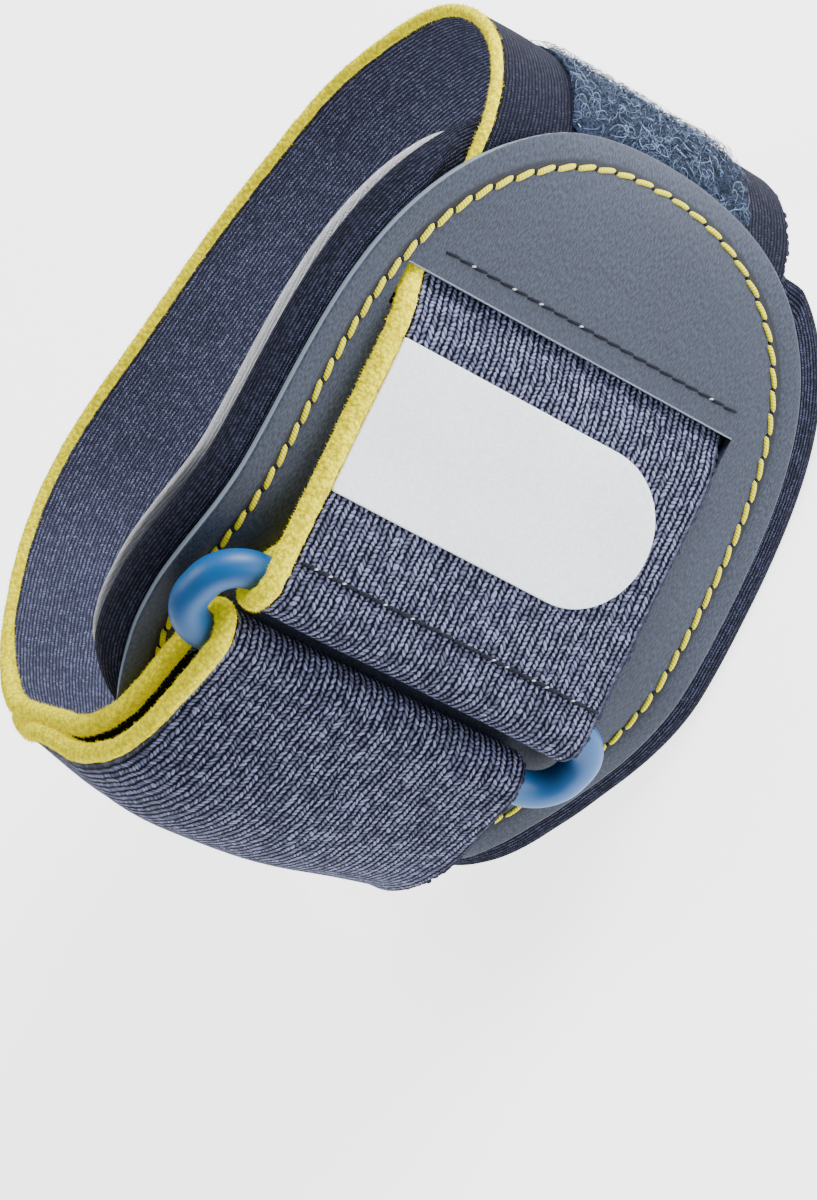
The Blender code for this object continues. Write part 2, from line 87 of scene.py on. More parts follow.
RING_TUBE = 4.8 * MM
RING_LENGTH = 63.0 * MM
RING_WIDTH = 16.0 * MM
RING_CORNER = 4.9 * MM
RING_PLACE = -16.0 * MM
LABEL_LENGTH = 43.5 * MM
LABEL_WIDTH = 20.4 * MM
LABEL_PLACE = 4.2 * MM
LABEL_THICKNESS = 0.35 * MM
PILE_WIDTH = 28.0 * MM
PILE_THICKNESS = 0.9 * MM
TAB_LENGTH = 24.0 * MM
TAB_WIDTH = 26.0 * MM
TAB_THICKNESS = 1.2 * MM
CLEARANCE = 0.3 * MM

# Finish that the solids don't have
# Play of the strap in the slot, at each of its edges
SLOT_ROOM = 0.5 * MM
# How much further the free layer stands off, to clear the terry edges, and over how far back from
# the ring it comes down to the layer under it
FREE_LIFT = 0.3 * MM
FREE_TAPER = 45.0 * MM
# Swell of the free layer between its edges: where it starts and ends, and over what lengths
FREE_SWELL = 3.6 * MM
SWELL_START, SWELL_RISE = 6.0 * MM, 24.0 * MM
SWELL_END, SWELL_FALL = 50.0 * MM, 15.0 * MM
# Soft waves of the webbing: their depth and length, and over what length from the fold they rise
MAIN_WAVE, MAIN_WAVE_LENGTH = 0.10 * MM, 26.0 * MM
RING_WAVE, RING_WAVE_LENGTH = 0.07 * MM, 22.0 * MM
WAVE_RISE = 15.0 * MM
# Terry edge round the back, which is rolled tighter: from where, over what length, by what share
SLIM_START, SLIM_LENGTH, SLIM_SHARE = 50.0 * MM, 18.0 * MM, 0.42
# Dip of the main edge behind the layer under it at the free end: how deep, from where, how long
DIP_DEPTH, DIP_START, DIP_LENGTH = 2.4 * MM, 54.0 * MM, 10.0 * MM
# How far the ring strap's sewn end lies lower than the layer over it
SEWN_TUCK = 2.6 * MM
# Run up to which the webbing is knit finer and plainer, where the strap's fold is at zero
FINE_KNIT_RUN = -6.0 * MM
# Groove of the shell's seam, its depth and half width, and the swell inside it, with its reach
GROOVE_DEPTH, GROOVE_WIDTH = 0.22 * MM, 0.9 * MM
SHELL_SWELL, SHELL_SWELL_REACH = 0.18 * MM, 6.0 * MM
# How much further the lining's soft edge stands out
LINING_SHOWS = 1.4 * MM
# How much the pad's upper side is drawn in behind the lining. In the lower corner the pad's end is
# drawn in and the lining's let out, both along the strap
PAD_DRAWN_IN = 1.0 * MM
PAD_CORNER_IN = 4.8 * PAD_DRAWN_IN
LINING_CORNER_OUT = 2.2 * PAD_DRAWN_IN
# Where that corner starts, from the shell's middle, and over what length it comes in
CORNER_RUN, CORNER_HEIGHT, CORNER_BLEND = -32.0 * MM, -14.0 * MM, 20.0 * MM
# Hollow of the pad under the webbing: play beside the webbing, and over what length it comes in
HOLLOW_PLAY, HOLLOW_BLEND = 0.3 * MM, 2.2 * MM
# How far the pad lies under the shell, and how closely the lining, the pile and the label lie
PAD_GAP, LYING_GAP, LABEL_GAP = 0.1 * MM, 0.05 * MM, 0.02 * MM
# Over what length the pile's start follows the shell's edge
PILE_BLEND = 10.0 * MM
# Half the width of a loose fibre of the terry
FIBRE_WIDTH = 0.045 * MM
# Step between the points of a strap's path, and points round a large plate
TRACK_STEP = 0.4 * MM
OUTLINE_POINTS = 420
# Side wall of the pad from its outer face to its inner
PAD_SWELL = (
    # (millimetres drawn in, level)
    (3.2, 0.0),
    (2.1, 0.0),
    (1.25, 0.03),
    (0.6, 0.12),
    (0.2, 0.25),
    (0.0, 0.42),
    (0.25, 0.58),
    (0.7, 0.72),
    (1.3, 0.86),
    (2.0, 0.96),
    (2.8, 1.0),
    (3.6, 1.0),
)

# Loop route: shares of half LOOP_LENGTH and of LOOP_DEPTH, from the shell's lower end, over the
# front and the top turn, round the back and down to where the webbing comes back to the ring
LOOP_ROUTE = (
    # (along, deep)
    (-0.786, 0.560),
    (-0.788, 0.500),
    (-0.782, 0.439),
    (-0.756, 0.385),
    (-0.724, 0.341),
    (-0.678, 0.308),
    (-0.622, 0.282),
    (-0.562, 0.259),
    (-0.502, 0.232),
    (-0.438, 0.203),
    (-0.371, 0.168),
    (-0.302, 0.134),
    (-0.227, 0.104),
    (-0.155, 0.086),
    (-0.055, 0.078),
    (0.091, 0.076),
    (0.320, 0.076),
    (0.545, 0.076),
    (0.651, 0.079),
    (0.735, 0.086),
    (0.800, 0.101),
    (0.865, 0.132),
    (0.925, 0.180),
    (0.969, 0.241),
    (0.994, 0.327),
    (0.989, 0.423),
    (0.956, 0.497),
    (0.904, 0.562),
    (0.813, 0.646),
    (0.720, 0.707),
    (0.589, 0.765),
    (0.444, 0.819),
    (0.287, 0.866),
    (0.127, 0.907),
    (-0.027, 0.946),
    (-0.145, 0.977),
    (-0.255, 0.998),
    (-0.360, 1.004),
    (-0.445, 0.997),
    (-0.524, 0.980),
    (-0.598, 0.954),
    (-0.673, 0.916),
    (-0.735, 0.878),
    (-0.789, 0.834),
    (-0.840, 0.777),
    (-0.873, 0.720),
    (-0.889, 0.654),
)

# Depths from the loop, which is the middle of the webbing; negative is away from the arm
HALF_STRAP = STRAP_THICKNESS / 2
SHELL_INNER = -(HALF_STRAP + CLEARANCE)
SHELL_OUTER = SHELL_INNER - SHELL_THICKNESS
ON_SHELL = SHELL_OUTER - CLEARANCE - HALF_STRAP
LAYER_PITCH = STRAP_THICKNESS + CLEARANCE
FOLD_RADIUS = RING_TUBE / 2 + CLEARANCE + HALF_STRAP
RING_DEPTH = ON_SHELL - FOLD_RADIUS
PAD_INNER = HALF_STRAP + CLEARANCE + PAD_THICKNESS
BAR_SPACING = RING_WIDTH - RING_TUBE
TAB_RUN = -(FREE_END_LENGTH + CLEARANCE + STRAP_THICKNESS)

# Outline of the shell
OUTLINE_SIDE_POWER = 2.1
OUTLINE_TOP_POWER = 3.3
OUTLINE_BOTTOM_POWER = 3.05

# Camera, in the loop's own frame: what it looks at, from how far, and how it is turned
CAMERA_AIM = (-13.37 * MM, 2.65 * MM, 4.99 * MM)
CAMERA_DISTANCE = 600.0 * MM
CAMERA_ELEVATION = math.radians(28.0)
CAMERA_ROLL = math.radians(62.83)
CAMERA_LENS = 148.06
CAMERA_SENSOR = 36.0

# Studio
FLOOR_HALF = 3.0
SKY_COLOUR = (0.93, 0.96, 1.0, 1.0)
SKY_SHARE = 0.55
LIGHTS = (
    # (name, place to the right, up and toward the camera in metres, size, power)
    ("key_light", (0.08, 0.50, 0.26), 0.24, 10.5),
    ("rim_light", (-0.52, 0.20, 0.10), 0.24, 3.0),
    ("fill_light", (0.40, 0.00, 0.42), 0.30, 2.4),
)


def size_setting(name, description, default, low, high):
    """Size setting with the given words, default and limits, all in millimetres."""
    return FloatProperty(
        name=name, description=description, default=default * MM, min=low * MM, max=high * MM,
        subtype="DISTANCE", unit="LENGTH", precision=5)


def count_setting(name, description, default, high):
    """Whole number with the given words, default and upper limit."""
    return IntProperty(name=name, description=description, default=default, min=100, max=high)


def colour_setting(name, description, default):
    """Colour setting with the given words and default."""
    return FloatVectorProperty(
        name=name, description=description, default=default, size=3, min=0.0, max=1.0, subtype="COLOR")


class StrapSizes(PropertyGroup):
    """Sizes of the finish that a user would change."""

    wale: size_setting("Wale", "Width of one column of knit stitches", 0.86, 0.3, 4)
    knit_stitch: size_setting("Knit stitch", "Length of one knit stitch along its column", 0.62, 0.2, 4)
    pad_wale: size_setting("Pad wale", "Width of one column of stitches in the pad's cover", 0.44, 0.2, 4)
    edge_depth: size_setting("Edge depth", "Thickness of the rolled terry edge", 2.6, 1, 5)
    seam_inset: size_setting("Seam inset", "Distance of the bright seam from the shell's edge", 3.8, 1, 9)
    seam_stitch: size_setting("Seam stitch", "Length of one stitch of the bright seam", 2.9, 1, 8)
    seam_thread: size_setting("Seam thread", "Thickness of the bright seam's thread", 0.74, 0.2, 2)
    pile_height: size_setting("Pile height", "Height of the loop pile above its backing", 1.1, 0.2, 4)
    pile_fibres: count_setting("Pile fibres", "Number of fibres in the loop pile", 13500, 30000)
    edge_fibres: count_setting("Edge fibres", "Number of loose fibres on the main edge", 16000, 60000)


class StrapColours(PropertyGroup):
    """Colours of the finish that a user would change."""

    webbing: colour_setting("Webbing", "Yarn of the knit webbing", (0.215, 0.232, 0.390))
    # Painted shade: the colour in the gaps between the yarns of the webbing
    webbing_gap_shade: colour_setting("Webbing gaps", "Between the yarns of the webbing", (0.0015, 0.002, 0.008))
    edge: colour_setting("Edge", "Terry of the rolled edges", (0.94, 0.85, 0.0))
    edge_shade: colour_setting("Edge shade", "Between the tufts of the rolled edges", (0.52, 0.42, 0.0))
    shell: colour_setting("Shell", "Moulded shell", (0.038, 0.048, 0.076))
    # Pale of the cut edge: partly the cut's own colour, partly a painted highlight
    shell_edge_and_highlight: colour_setting("Shell edge", "Cut edge of the shell", (0.20, 0.25, 0.31))
    pad: colour_setting("Pad", "Yarn of the pad's cover", (0.062, 0.069, 0.128))
    lining: colour_setting("Lining", "Yarn of the lining", (0.94, 0.94, 0.98))
    ring: colour_setting("Ring", "Moulded ring", (0.002, 0.085, 0.270))
    label: colour_setting("Label", "Blank reflective label", (0.82, 0.86, 0.92))
    pile: colour_setting("Pile", "Fibres of the loop pile", (0.105, 0.145, 0.225))
    pile_base: colour_setting("Pile base", "Backing of the loop pile", (0.014, 0.021, 0.042))
    tab: colour_setting("Tab", "Woven back of the hook tab", (0.030, 0.034, 0.060))
    seam: colour_setting("Seam", "Thread of the bright seam", (0.86, 0.78, 0.02))
    thread: colour_setting("Thread", "Dark thread", (0.020, 0.024, 0.050))


class StageSettings(PropertyGroup):
    """Floor and light of the studio."""

    floor: colour_setting("Floor", "Plain pale floor", (0.90, 0.90, 0.91))
    glow: FloatProperty(name="Glow", description="Light that the floor gives off", default=2.8, min=0.0)
    light: FloatProperty(name="Light", description="Strength of the studio lights", default=0.54, min=0.0)


def smooth_step(share):
    """0 below 0, 1 above 1, and an even S between."""
    share = np.clip(share, 0.0, 1.0)
    return share * share * (3.0 - 2.0 * share)


def unit(vectors):
    """The same directions with a length of one."""
    return vectors / np.linalg.norm(vectors, axis=-1, keepdims=True)


def lengths(path):
    """Length along the path up to each of its points."""
    return np.concatenate(([0.0], np.cumsum(np.linalg.norm(np.diff(path, axis=0), axis=1))))


def read_off(path, run, stops):
    """Points of the path at the stops, where run is the length up to each of its own points."""
    return np.stack([np.interp(stops, run, column) for column in path.T], axis=-1)


def even(path, step):
    """The same path with points at even steps of about the given length."""
    run = lengths(path)
    return read_off(path, run, np.linspace(0.0, run[-1], max(2, int(round(run[-1] / step)) + 1)))


def even_round(path, count):
    """So many points at even steps round a closed path, whose last point is its first."""
    run = lengths(path)
    return read_off(path, run, np.linspace(0.0, run[-1], count, endpoint=False))


def curve_through(points, step, samples=12):
    """Centripetal Catmull-Rom curve through the points, read off at even steps of about step."""
    points = np.asarray(points, dtype=float)
    ends = np.vstack((2 * points[0] - points[1], points, 2 * points[-1] - points[-2]))
    dense = []
    for p0, p1, p2, p3 in zip(ends, ends[1:], ends[2:], ends[3:]):
        t1 = np.linalg.norm(p1 - p0) ** 0.5
        t2 = t1 + np.linalg.norm(p2 - p1) ** 0.5
        t3 = t2 + np.linalg.norm(p3 - p2) ** 0.5
        t = np.linspace(t1, t2, samples, endpoint=False)[:, None]
        a1 = (t1 - t) / t1 * p0 + t / t1 * p1
        a2 = (t2 - t) / (t2 - t1) * p1 + (t - t1) / (t2 - t1) * p2
        a3 = (t3 - t) / (t3 - t2) * p2 + (t - t2) / (t3 - t2) * p3
        b1 = (t2 - t) / t2 * a1 + t / t2 * a2
        b2 = (t3 - t) / (t3 - t1) * a2 + (t - t1) / (t3 - t1) * a3
        dense.append((t2 - t) / (t2 - t1) * b1 + (t - t1) / (t2 - t1) * b2)
    dense.append(points[-1:])
    return even(np.vstack(dense), step)


def tangents(path):
    """Unit direction of the path at each of its points."""
    return unit(np.gradient(path, axis=0))


def inward(direction):
    """The direction turned to the arm's side, a quarter turn to the left."""
    return np.column_stack((-direction[:, 1], direction[:, 0]))


class Track:
    """A flat path read by the length along it, from the point that counts as zero."""

    def __init__(self, path, zero=0.0):
        self.path = path
        self.run = lengths(path) - zero
        self.normal = inward(tangents(path))

    def at(self, run, height, depth):
        """Points at runs along the path, heights along the arm and depths toward the arm.

        A run past either end goes straight on.
        """
        run, height, depth = np.broadcast_arrays(run, height, depth)
        inside = np.clip(run, self.run[0], self.run[-1])
        normal = unit(read_off(self.normal, self.run, inside))
        ahead = np.stack((normal[..., 1], -normal[..., 0]), axis=-1)
        centre = read_off(self.path, self.run, inside)
        flat = centre + normal * depth[..., None] + ahead * (run - inside)[..., None]
        return np.concatenate((flat, height[..., None]), axis=-1)


def make_loop():
    """The loop's track, zero where its front passes the middle of the ring strap."""
    path = curve_through(np.array(LOOP_ROUTE) * (LOOP_LENGTH / 2, LOOP_DEPTH), 0.5 * MM)
    front = path[:, 1] < LOOP_DEPTH / 5
    return Track(path, np.interp(0.0, path[front, 0], lengths(path)[front]))


LOOP = make_loop()


def ring_bars():
    """Centres of the ring's two bars, each seated on a strap layer that lies on the shell."""
    upper = LOOP.at(RING_PLACE, 0.0, RING_DEPTH)[:2]
    seats = LOOP.at(LOOP.run[LOOP.run < RING_PLACE - BAR_SPACING / 2], 0.0, RING_DEPTH)[:, :2]
    spacing = np.linalg.norm(seats - upper, axis=1)
    lower = seats[np.argmin(np.abs(spacing - BAR_SPACING))]
    return upper, upper + (lower - upper) * BAR_SPACING / np.linalg.norm(lower - upper)


UPPER_BAR, LOWER_BAR = ring_bars()


def mesh_points(mesh):
    """The points of a mesh as an array."""
    points = np.empty(len(mesh.vertices) * 3)
    mesh.vertices.foreach_get("co", points)
    return points.reshape(-1, 3)


def node_points(node):
    """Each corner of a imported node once, as an array."""
    return np.unique(mesh_points(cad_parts[node].data).round(6), axis=0)


def rest_frame():
    """How the loop's own frame lies in the row's: its axes as columns, and its origin.

    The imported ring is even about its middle, so the axes of its spread are its own: the longest
    lies along the arm, the next from bar to bar and the least square to both.
    """
    ring = node_points("ring")
    middle = ring.mean(axis=0)
    own_axes = np.linalg.eigh(np.cov((ring - middle).T))[1]
    across, along_arm = own_axes[:, 1], own_axes[:, 2]
    to_edge = node_points("ring_strap_edge").mean(axis=0) - node_points("ring_strap").mean(axis=0)
    along_arm = along_arm * np.sign(along_arm @ to_edge)
    across = across * np.sign(across @ (node_points("label").mean(axis=0) - middle))
    square = np.cross(along_arm, across)
    flat = (UPPER_BAR - LOWER_BAR) / np.linalg.norm(UPPER_BAR - LOWER_BAR)
    x_axis = flat[0] * across - flat[1] * square
    y_axis = flat[1] * across + flat[0] * square
    axes = np.column_stack((x_axis, y_axis, along_arm))
    centre = np.array((*((UPPER_BAR + LOWER_BAR) / 2), 0.0))
    return axes, middle - axes @ centre


AXES, ORIGIN = rest_frame()


def to_row(points):
    """Points of the loop's own frame in the row's frame."""
    return np.asarray(points) @ AXES.T + ORIGIN


def ripple(x, y, size, seed, waves=7):
    """Smooth random field of about -1 to 1: a sum of sine waves of about the given length."""
    random = np.random.default_rng(seed)
    angle = random.uniform(0.0, 2 * math.pi, waves)
    phase = random.uniform(0.0, 2 * math.pi, waves)
    rate = 2 * math.pi / size * random.uniform(0.6, 1.6, waves)
    total = np.zeros(np.broadcast(x, y).shape)
    for k in range(waves):
        total = total + np.sin(rate[k] * (math.cos(angle[k]) * x + math.sin(angle[k]) * y) + phase[k])
    return total / math.sqrt(waves)


def quads(rows, cols, close_rows=False, close_cols=False):
    """Corners of the quads of a grid of points, wrapped round where it is closed."""
    row = np.arange(rows if close_rows else rows - 1)[:, None]
    col = np.arange(cols if close_cols else cols - 1)[None, :]
    next_row = (row + 1) % rows
    next_col = (col + 1) % cols
    corners = (row * cols + col, row * cols + next_col, next_row * cols + next_col, next_row * cols + col)
    return np.stack(corners, axis=-1).reshape(-1, 4)


def copies(faces, points_each, count):
    """Faces of so many copies of one small mesh whose points follow each other."""
    shift = np.arange(count)[:, None, None] * points_each
    return (faces[None] + shift).reshape(-1, faces.shape[1])


def make_piece(name, points, faces, cloth=None):
    """Object from whole arrays: points in the loop's frame, faces, and cloth coordinates.

    faces is one array of corner indices or several of unlike width. cloth is kept as an attribute:
    how far along the cloth a point is, how far across it, and on which side. What would dip into
    the floor is pressed flat on it, as the solids are.
    """
    faces = faces if isinstance(faces, list) else [faces]
    points = to_row(points.reshape(-1, 3))
    points[:, 2] = np.maximum(points[:, 2], FLOOR_GAP)
    sizes = np.concatenate([np.full(len(f), f.shape[1]) for f in faces])
    corners = np.concatenate([f.ravel() for f in faces])
    mesh = bpy.data.meshes.new(name)
    mesh.vertices.add(len(points))
    mesh.vertices.foreach_set("co", points.ravel())
    mesh.loops.add(len(corners))
    mesh.loops.foreach_set("vertex_index", corners.astype(np.int32))
    mesh.polygons.add(len(sizes))
    mesh.polygons.foreach_set("loop_start", np.concatenate(([0], np.cumsum(sizes)[:-1])).astype(np.int32))
    if cloth is not None:
        layer = mesh.attributes.new("cloth", "FLOAT_VECTOR", "POINT")
        layer.data.foreach_set("vector", np.ascontiguousarray(cloth, dtype=np.float32).ravel())
    mesh.update(calc_edges=True)
    return link(name, mesh)


def link(name, data):
    """Object that shows the mesh, camera or light, in the scene."""
    item = bpy.data.objects.new(name, data)
    bpy.context.scene.collection.objects.link(item)
    return item


def close_up(item):
    """Merge what meets in a mesh, turn its faces outwards and shade it smooth."""
    builder = bmesh.new()
    builder.from_mesh(item.data)
    bmesh.ops.remove_doubles(builder, verts=builder.verts, dist=0.001 * MM)
    bmesh.ops.recalc_face_normals(builder, faces=builder.faces)
    builder.to_mesh(item.data)
    builder.free()
    item.data.shade_smooth()
    return item


def settle(item, surface, slot, *nodes):
    """Give a piece its material and its body, and hide the solids that it stands for. The slot is not used.
    """
    item.data.materials.clear()
    item.data.materials.append(surface)
    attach(item, BODY)
    if nodes:
        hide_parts(*nodes)
    return item


def band(name, track, low, high, depth, across=24, round_steps=5):
    """Webbing along a track: a flat section with half-round edges, carried from point to point.

    low and high are the edges' heights at the track's points, and depth(run, height) is added to
    the track's own. Each end is drawn together.
    """
    radius = HALF_STRAP
    share = np.linspace(0.0, 1.0, across)
    turn = np.linspace(-math.pi / 2, math.pi / 2, round_steps + 2)[1:-1]
    flat = np.concatenate((share, np.ones(round_steps), share[::-1], np.zeros(round_steps)))
    out = np.concatenate((np.zeros(across), np.cos(turn), np.zeros(across), -np.cos(turn)))
    side = np.concatenate((-np.ones(across), np.sin(turn), np.ones(across), -np.sin(turn)))
    stops = np.concatenate((track.run[:1] - radius / 2, track.run, track.run[-1:] + radius / 2))[:, None]
    pinch = np.ones_like(stops)
    pinch[[0, -1]] = 0.05
    low = np.concatenate((low[:1], low, low[-1:]))[:, None] + radius
    high = np.concatenate((high[:1], high, high[-1:]))[:, None] - radius
    height = low + flat * (high - low) + out * radius * pinch
    points = track.at(stops, height, depth(stops, height) + side * radius * pinch)
    cloth = np.stack(np.broadcast_arrays(stops, height, side), axis=-1)
    rows, cols = height.shape
    faces = quads(rows, cols, close_cols=True)
    caps = np.arange(cols)[None, :]
    return close_up(make_piece(name, points, [faces, caps, caps + (rows - 1) * cols], cloth))


def shell_outline(margin, count):
    """Superellipse of the shell grown by a margin, as (run, height), at even steps.

    With c and s the cosine and sine of an angle, the run is the half length times c to the power
    2 over the end's power, and the height the half width times s to 2 over the side's power.
    """
    angle = np.linspace(0.0, 2 * math.pi, 2400)
    c, s = np.cos(angle), np.sin(angle)
    power = np.where(c > 0.0, OUTLINE_TOP_POWER, OUTLINE_BOTTOM_POWER)
    along = np.sign(c) * np.abs(c) ** (2 / power) * (SHELL_LENGTH / 2 + margin)
    across = np.sign(s) * np.abs(s) ** (2 / OUTLINE_SIDE_POWER) * (SHELL_WIDTH / 2 + margin)
    return even_round(np.column_stack((SHELL_MIDDLE + along, SHELL_SHIFT + across)), count)


def slab_outline(run_low, run_high, low, high, corners, count):
    """Rectangle in (run, height) with its corners rounded, counted from low run and low height on."""
    turn = np.linspace(0.0, math.pi / 2, 24)
    spots = ((run_low, low, 1, 1), (run_high, low, -1, 1), (run_high, high, -1, -1), (run_low, high, 1, -1))
    path = []
    for index, ((run, height, sign_r, sign_h), radius) in enumerate(zip(spots, corners)):
        angle = math.pi + index * math.pi / 2 + turn
        corner_run = run + sign_r * radius + radius * np.cos(angle)
        corner_height = height + sign_h * radius + radius * np.sin(angle)
        path.append(np.column_stack((corner_run, corner_height)))
    return even_round(np.vstack((*path, path[0][:1])), count)


def outline_normals(outline):
    """Unit normals of a closed outline, to its inside."""
    step = unit(np.roll(outline, -1, axis=0) - np.roll(outline, 1, axis=0))
    area = np.cross(outline, np.roll(outline, -1, axis=0)).sum()
    return np.column_stack((-step[:, 1], step[:, 0])) * np.sign(area)


def plate(name, place, outline, rim, fill_rows, mark=None):
    """Closed plate on a curved ground.

    rim is a row of (inset, level) from the upper face over the edge to the lower face, level 0 on
    the upper and 1 on the lower. The inset moves the outline along its inner normal. From the first
    and the last rim row the faces run in to the middle, scaled by even shares. place(run, height,
    level) gives the points. The cloth coordinates are (run, height, level), or mark(points, level).
    """
    rim = np.array(rim, dtype=float)
    normals = outline_normals(outline)
    middle = outline.mean(axis=0)
    highest = outline + normals * rim[0, 0]
    lowest = outline + normals * rim[-1, 0]
    share = np.linspace(0.0, 1.0, fill_rows, endpoint=False)[:, None, None]
    upper = middle + (highest - middle) * share
    edge = outline[None] + normals[None] * rim[:, 0][:, None, None]
    lower = middle + (lowest - middle) * share[::-1]
    flat = np.concatenate((upper, edge, lower))
    rows, cols = flat.shape[:2]
    level = np.concatenate((np.full(fill_rows, rim[0, 1]), rim[:, 1], np.full(fill_rows, rim[-1, 1])))
    level = np.broadcast_to(level[:, None], (rows, cols))
    points = place(flat[..., 0], flat[..., 1], level)
    cloth = mark(points, level) if mark else np.concatenate((flat, level[..., None]), axis=-1)
    return close_up(make_piece(name, points, quads(rows, cols, close_cols=True), cloth))


def rim_cloth(points, level):
    """Cloth coordinates that go round a plate's rim: along its outline, across its profile, level."""
    along = np.linalg.norm(np.diff(points, axis=1, append=points[:, :1]), axis=-1)
    along = np.cumsum(along, axis=1).max(axis=0) * np.ones_like(level)
    across = np.linalg.norm(np.diff(points, axis=0, prepend=points[:1]), axis=-1).cumsum(axis=0)
    return np.stack((along, across.mean(axis=1)[:, None] * np.ones_like(level), level), axis=-1)


def round_rim(radius, thickness, steps=5, lower=0.35):
    """Rim rows for plate: a quarter round from the upper face and a smaller one to the lower."""
    turn = np.linspace(0.0, math.pi / 2, steps)
    up = [(radius * (1.0 - math.sin(a)), radius / thickness * (1.0 - math.cos(a))) for a in turn]
    under = radius * lower
    down = [(under * (1.0 - math.cos(a)), 1.0 - under / thickness * (1.0 - math.sin(a))) for a in turn]
    return [(radius * 2.2, 0.0)] + up + down


def arithmetic(operation, swapped=False):
    """Method that puts a value and another into a Math node, the other first if swapped."""
    def method(self, other=0.0):
        pair = (other, self) if swapped else (self, other)
        return first(self.tree, "ShaderNodeMath", enumerate(pair), operation=operation)
    return method


class Value:
    """Output of a node, written like a number: each step of arithmetic is one Math node more."""

    def __init__(self, socket):
        self.socket = socket
        self.tree = socket.id_data

    __add__ = arithmetic("ADD")
    __radd__ = arithmetic("ADD", swapped=True)
    __sub__ = arithmetic("SUBTRACT")
    __rsub__ = arithmetic("SUBTRACT", swapped=True)
    __mul__ = arithmetic("MULTIPLY")
    __truediv__ = arithmetic("DIVIDE")
    __mod__ = arithmetic("FLOORED_MODULO")
    __pow__ = arithmetic("POWER")
    __lt__ = arithmetic("LESS_THAN")
    __abs__ = arithmetic("ABSOLUTE")
    floor = arithmetic("FLOOR")
    fract = arithmetic("FRACT")
    at_least = arithmetic("MAXIMUM")


def add(tree, kind, inputs=(), **settings):
    """Node with its settings made and its inputs fed with values of other nodes or plain ones."""
    made = tree.nodes.new(kind)
    for key, value in settings.items():
        setattr(made, key, value)
    for key, value in dict(inputs).items():
        if isinstance(value, Value):
            tree.links.new(value.socket, made.inputs[key])
        else:
            made.inputs[key].default_value = value
    return made


def first(tree, kind, inputs=(), **settings):
    """Value that a new node gives first."""
    return Value(add(tree, kind, inputs, **settings).outputs[0])


def results(node):
    """Values of a node by the names of its outputs."""
    return {socket.name: Value(socket) for socket in node.outputs}


def split(vector):
    """The three parts of a vector."""
    return [Value(socket) for socket in add(vector.tree, "ShaderNodeSeparateXYZ", {0: vector}).outputs]


def mix_colour(share, low, high):
    """Colour between two, by a share."""
    return Value(add(share.tree, "ShaderNodeMix", {0: share, 6: low, 7: high}, data_type="RGBA").outputs[2])


def noise(vector, scale, detail=2.0, roughness=0.5):
    """Value of a Noise texture, about 0.5 on the whole."""
    return first(vector.tree, "ShaderNodeTexNoise", {
        "Vector": vector, "Scale": scale, "Detail": detail, "Roughness": roughness})


def spread(value, low, high):
    """Value taken from low..high to 0..1 and held there."""
    return first(value.tree, "ShaderNodeMapRange", {
        "Value": value, "From Min": low, "From Max": high}, interpolation_type="SMOOTHSTEP")


def new_group(name, inputs, outputs):
    """Node group and the values that it is given.

    An input is a number where its default is one, or else a vector. The outputs are numbers.
    """
    tree = bpy.data.node_groups.new(name, "ShaderNodeTree")
    for label, default in inputs.items():
        kind = "NodeSocketFloat" if isinstance(default, float) else "NodeSocketVector"
        tree.interface.new_socket(label, in_out="INPUT", socket_type=kind).default_value = default
    for label in outputs:
        tree.interface.new_socket(label, in_out="OUTPUT", socket_type="NodeSocketFloat")
    return tree, results(tree.nodes.new("NodeGroupInput"))


def knit_group():
    """Knit: columns of slanted oval loops. Their height, a mask of their yarn and a shade for each.

    A place is told as a share of its column, u, and of its loop, v, both -0.5 to 0.5. The loops
    slant one way in even columns and the other way in odd ones. The height of a loop is 1 less the
    squares of u and v over its half widths, and the gaps beside it come and go with a noise that
    is drawn out along the column.
    """
    tree, given = new_group("knit", {
        "Cloth": NO_VECTOR, "Wale": 0.001, "Stitch": 0.0007, "Slant": 0.9, "Wander": 0.8, "Fibre": 0.9,
    }, ("Height", "Yarn", "Loop"))
    cloth = given["Cloth"]
    along, across, _ = split(cloth)
    drift = noise(cloth, 420.0) - 0.5
    columns = across / given["Wale"] + drift * given["Wander"]
    column = columns.floor()
    u = columns.fract() - 0.5
    lean = u * (column % 2.0 * 2.0 - 1.0) * given["Slant"]
    loops = along / given["Stitch"] + lean + drift * 2.2
    v = loops.fract() - 0.5
    drawn_out = first(tree, "ShaderNodeCombineXYZ", {0: loops * 0.42, 1: column * 5.3})
    half_wide = 0.22 + noise(drawn_out, 1.0, 1.0) * 0.46
    dome = 1.0 - (abs(u / half_wide) ** 2.0 + abs(v / 0.60) ** 2.0)
    fibre = noise(cloth, 3800.0, 3.0) - 0.5
    height = dome.at_least(-0.35) + fibre * given["Fibre"]
    cell = first(tree, "ShaderNodeCombineXYZ", {0: column, 1: loops.floor()})
    lightness = first(tree, "ShaderNodeTexWhiteNoise", {"Vector": cell}, noise_dimensions="3D")
    add(tree, "NodeGroupOutput", {"Height": height, "Yarn": spread(height, 0.0, 1.05), "Loop": lightness})


def nap_group():
    """Nap: short tufts that stand close together. Their height and a mask of their tips.

    The height is a fine noise less the distance from the middle of the nearest tuft.
    """
    tree, given = new_group("nap", {"Place": NO_VECTOR, "Tufts": 1800.0}, ("Height", "Tips"))
    place, tufts = given["Place"], given["Tufts"]
    from_middle = first(tree, "ShaderNodeTexVoronoi", {"Vector": place, "Scale": tufts})
    height = noise(place, tufts * 1.7, 3.0) + 0.3 - from_middle
    add(tree, "NodeGroupOutput", {"Height": height, "Tips": spread(height, -0.1, 0.65)})


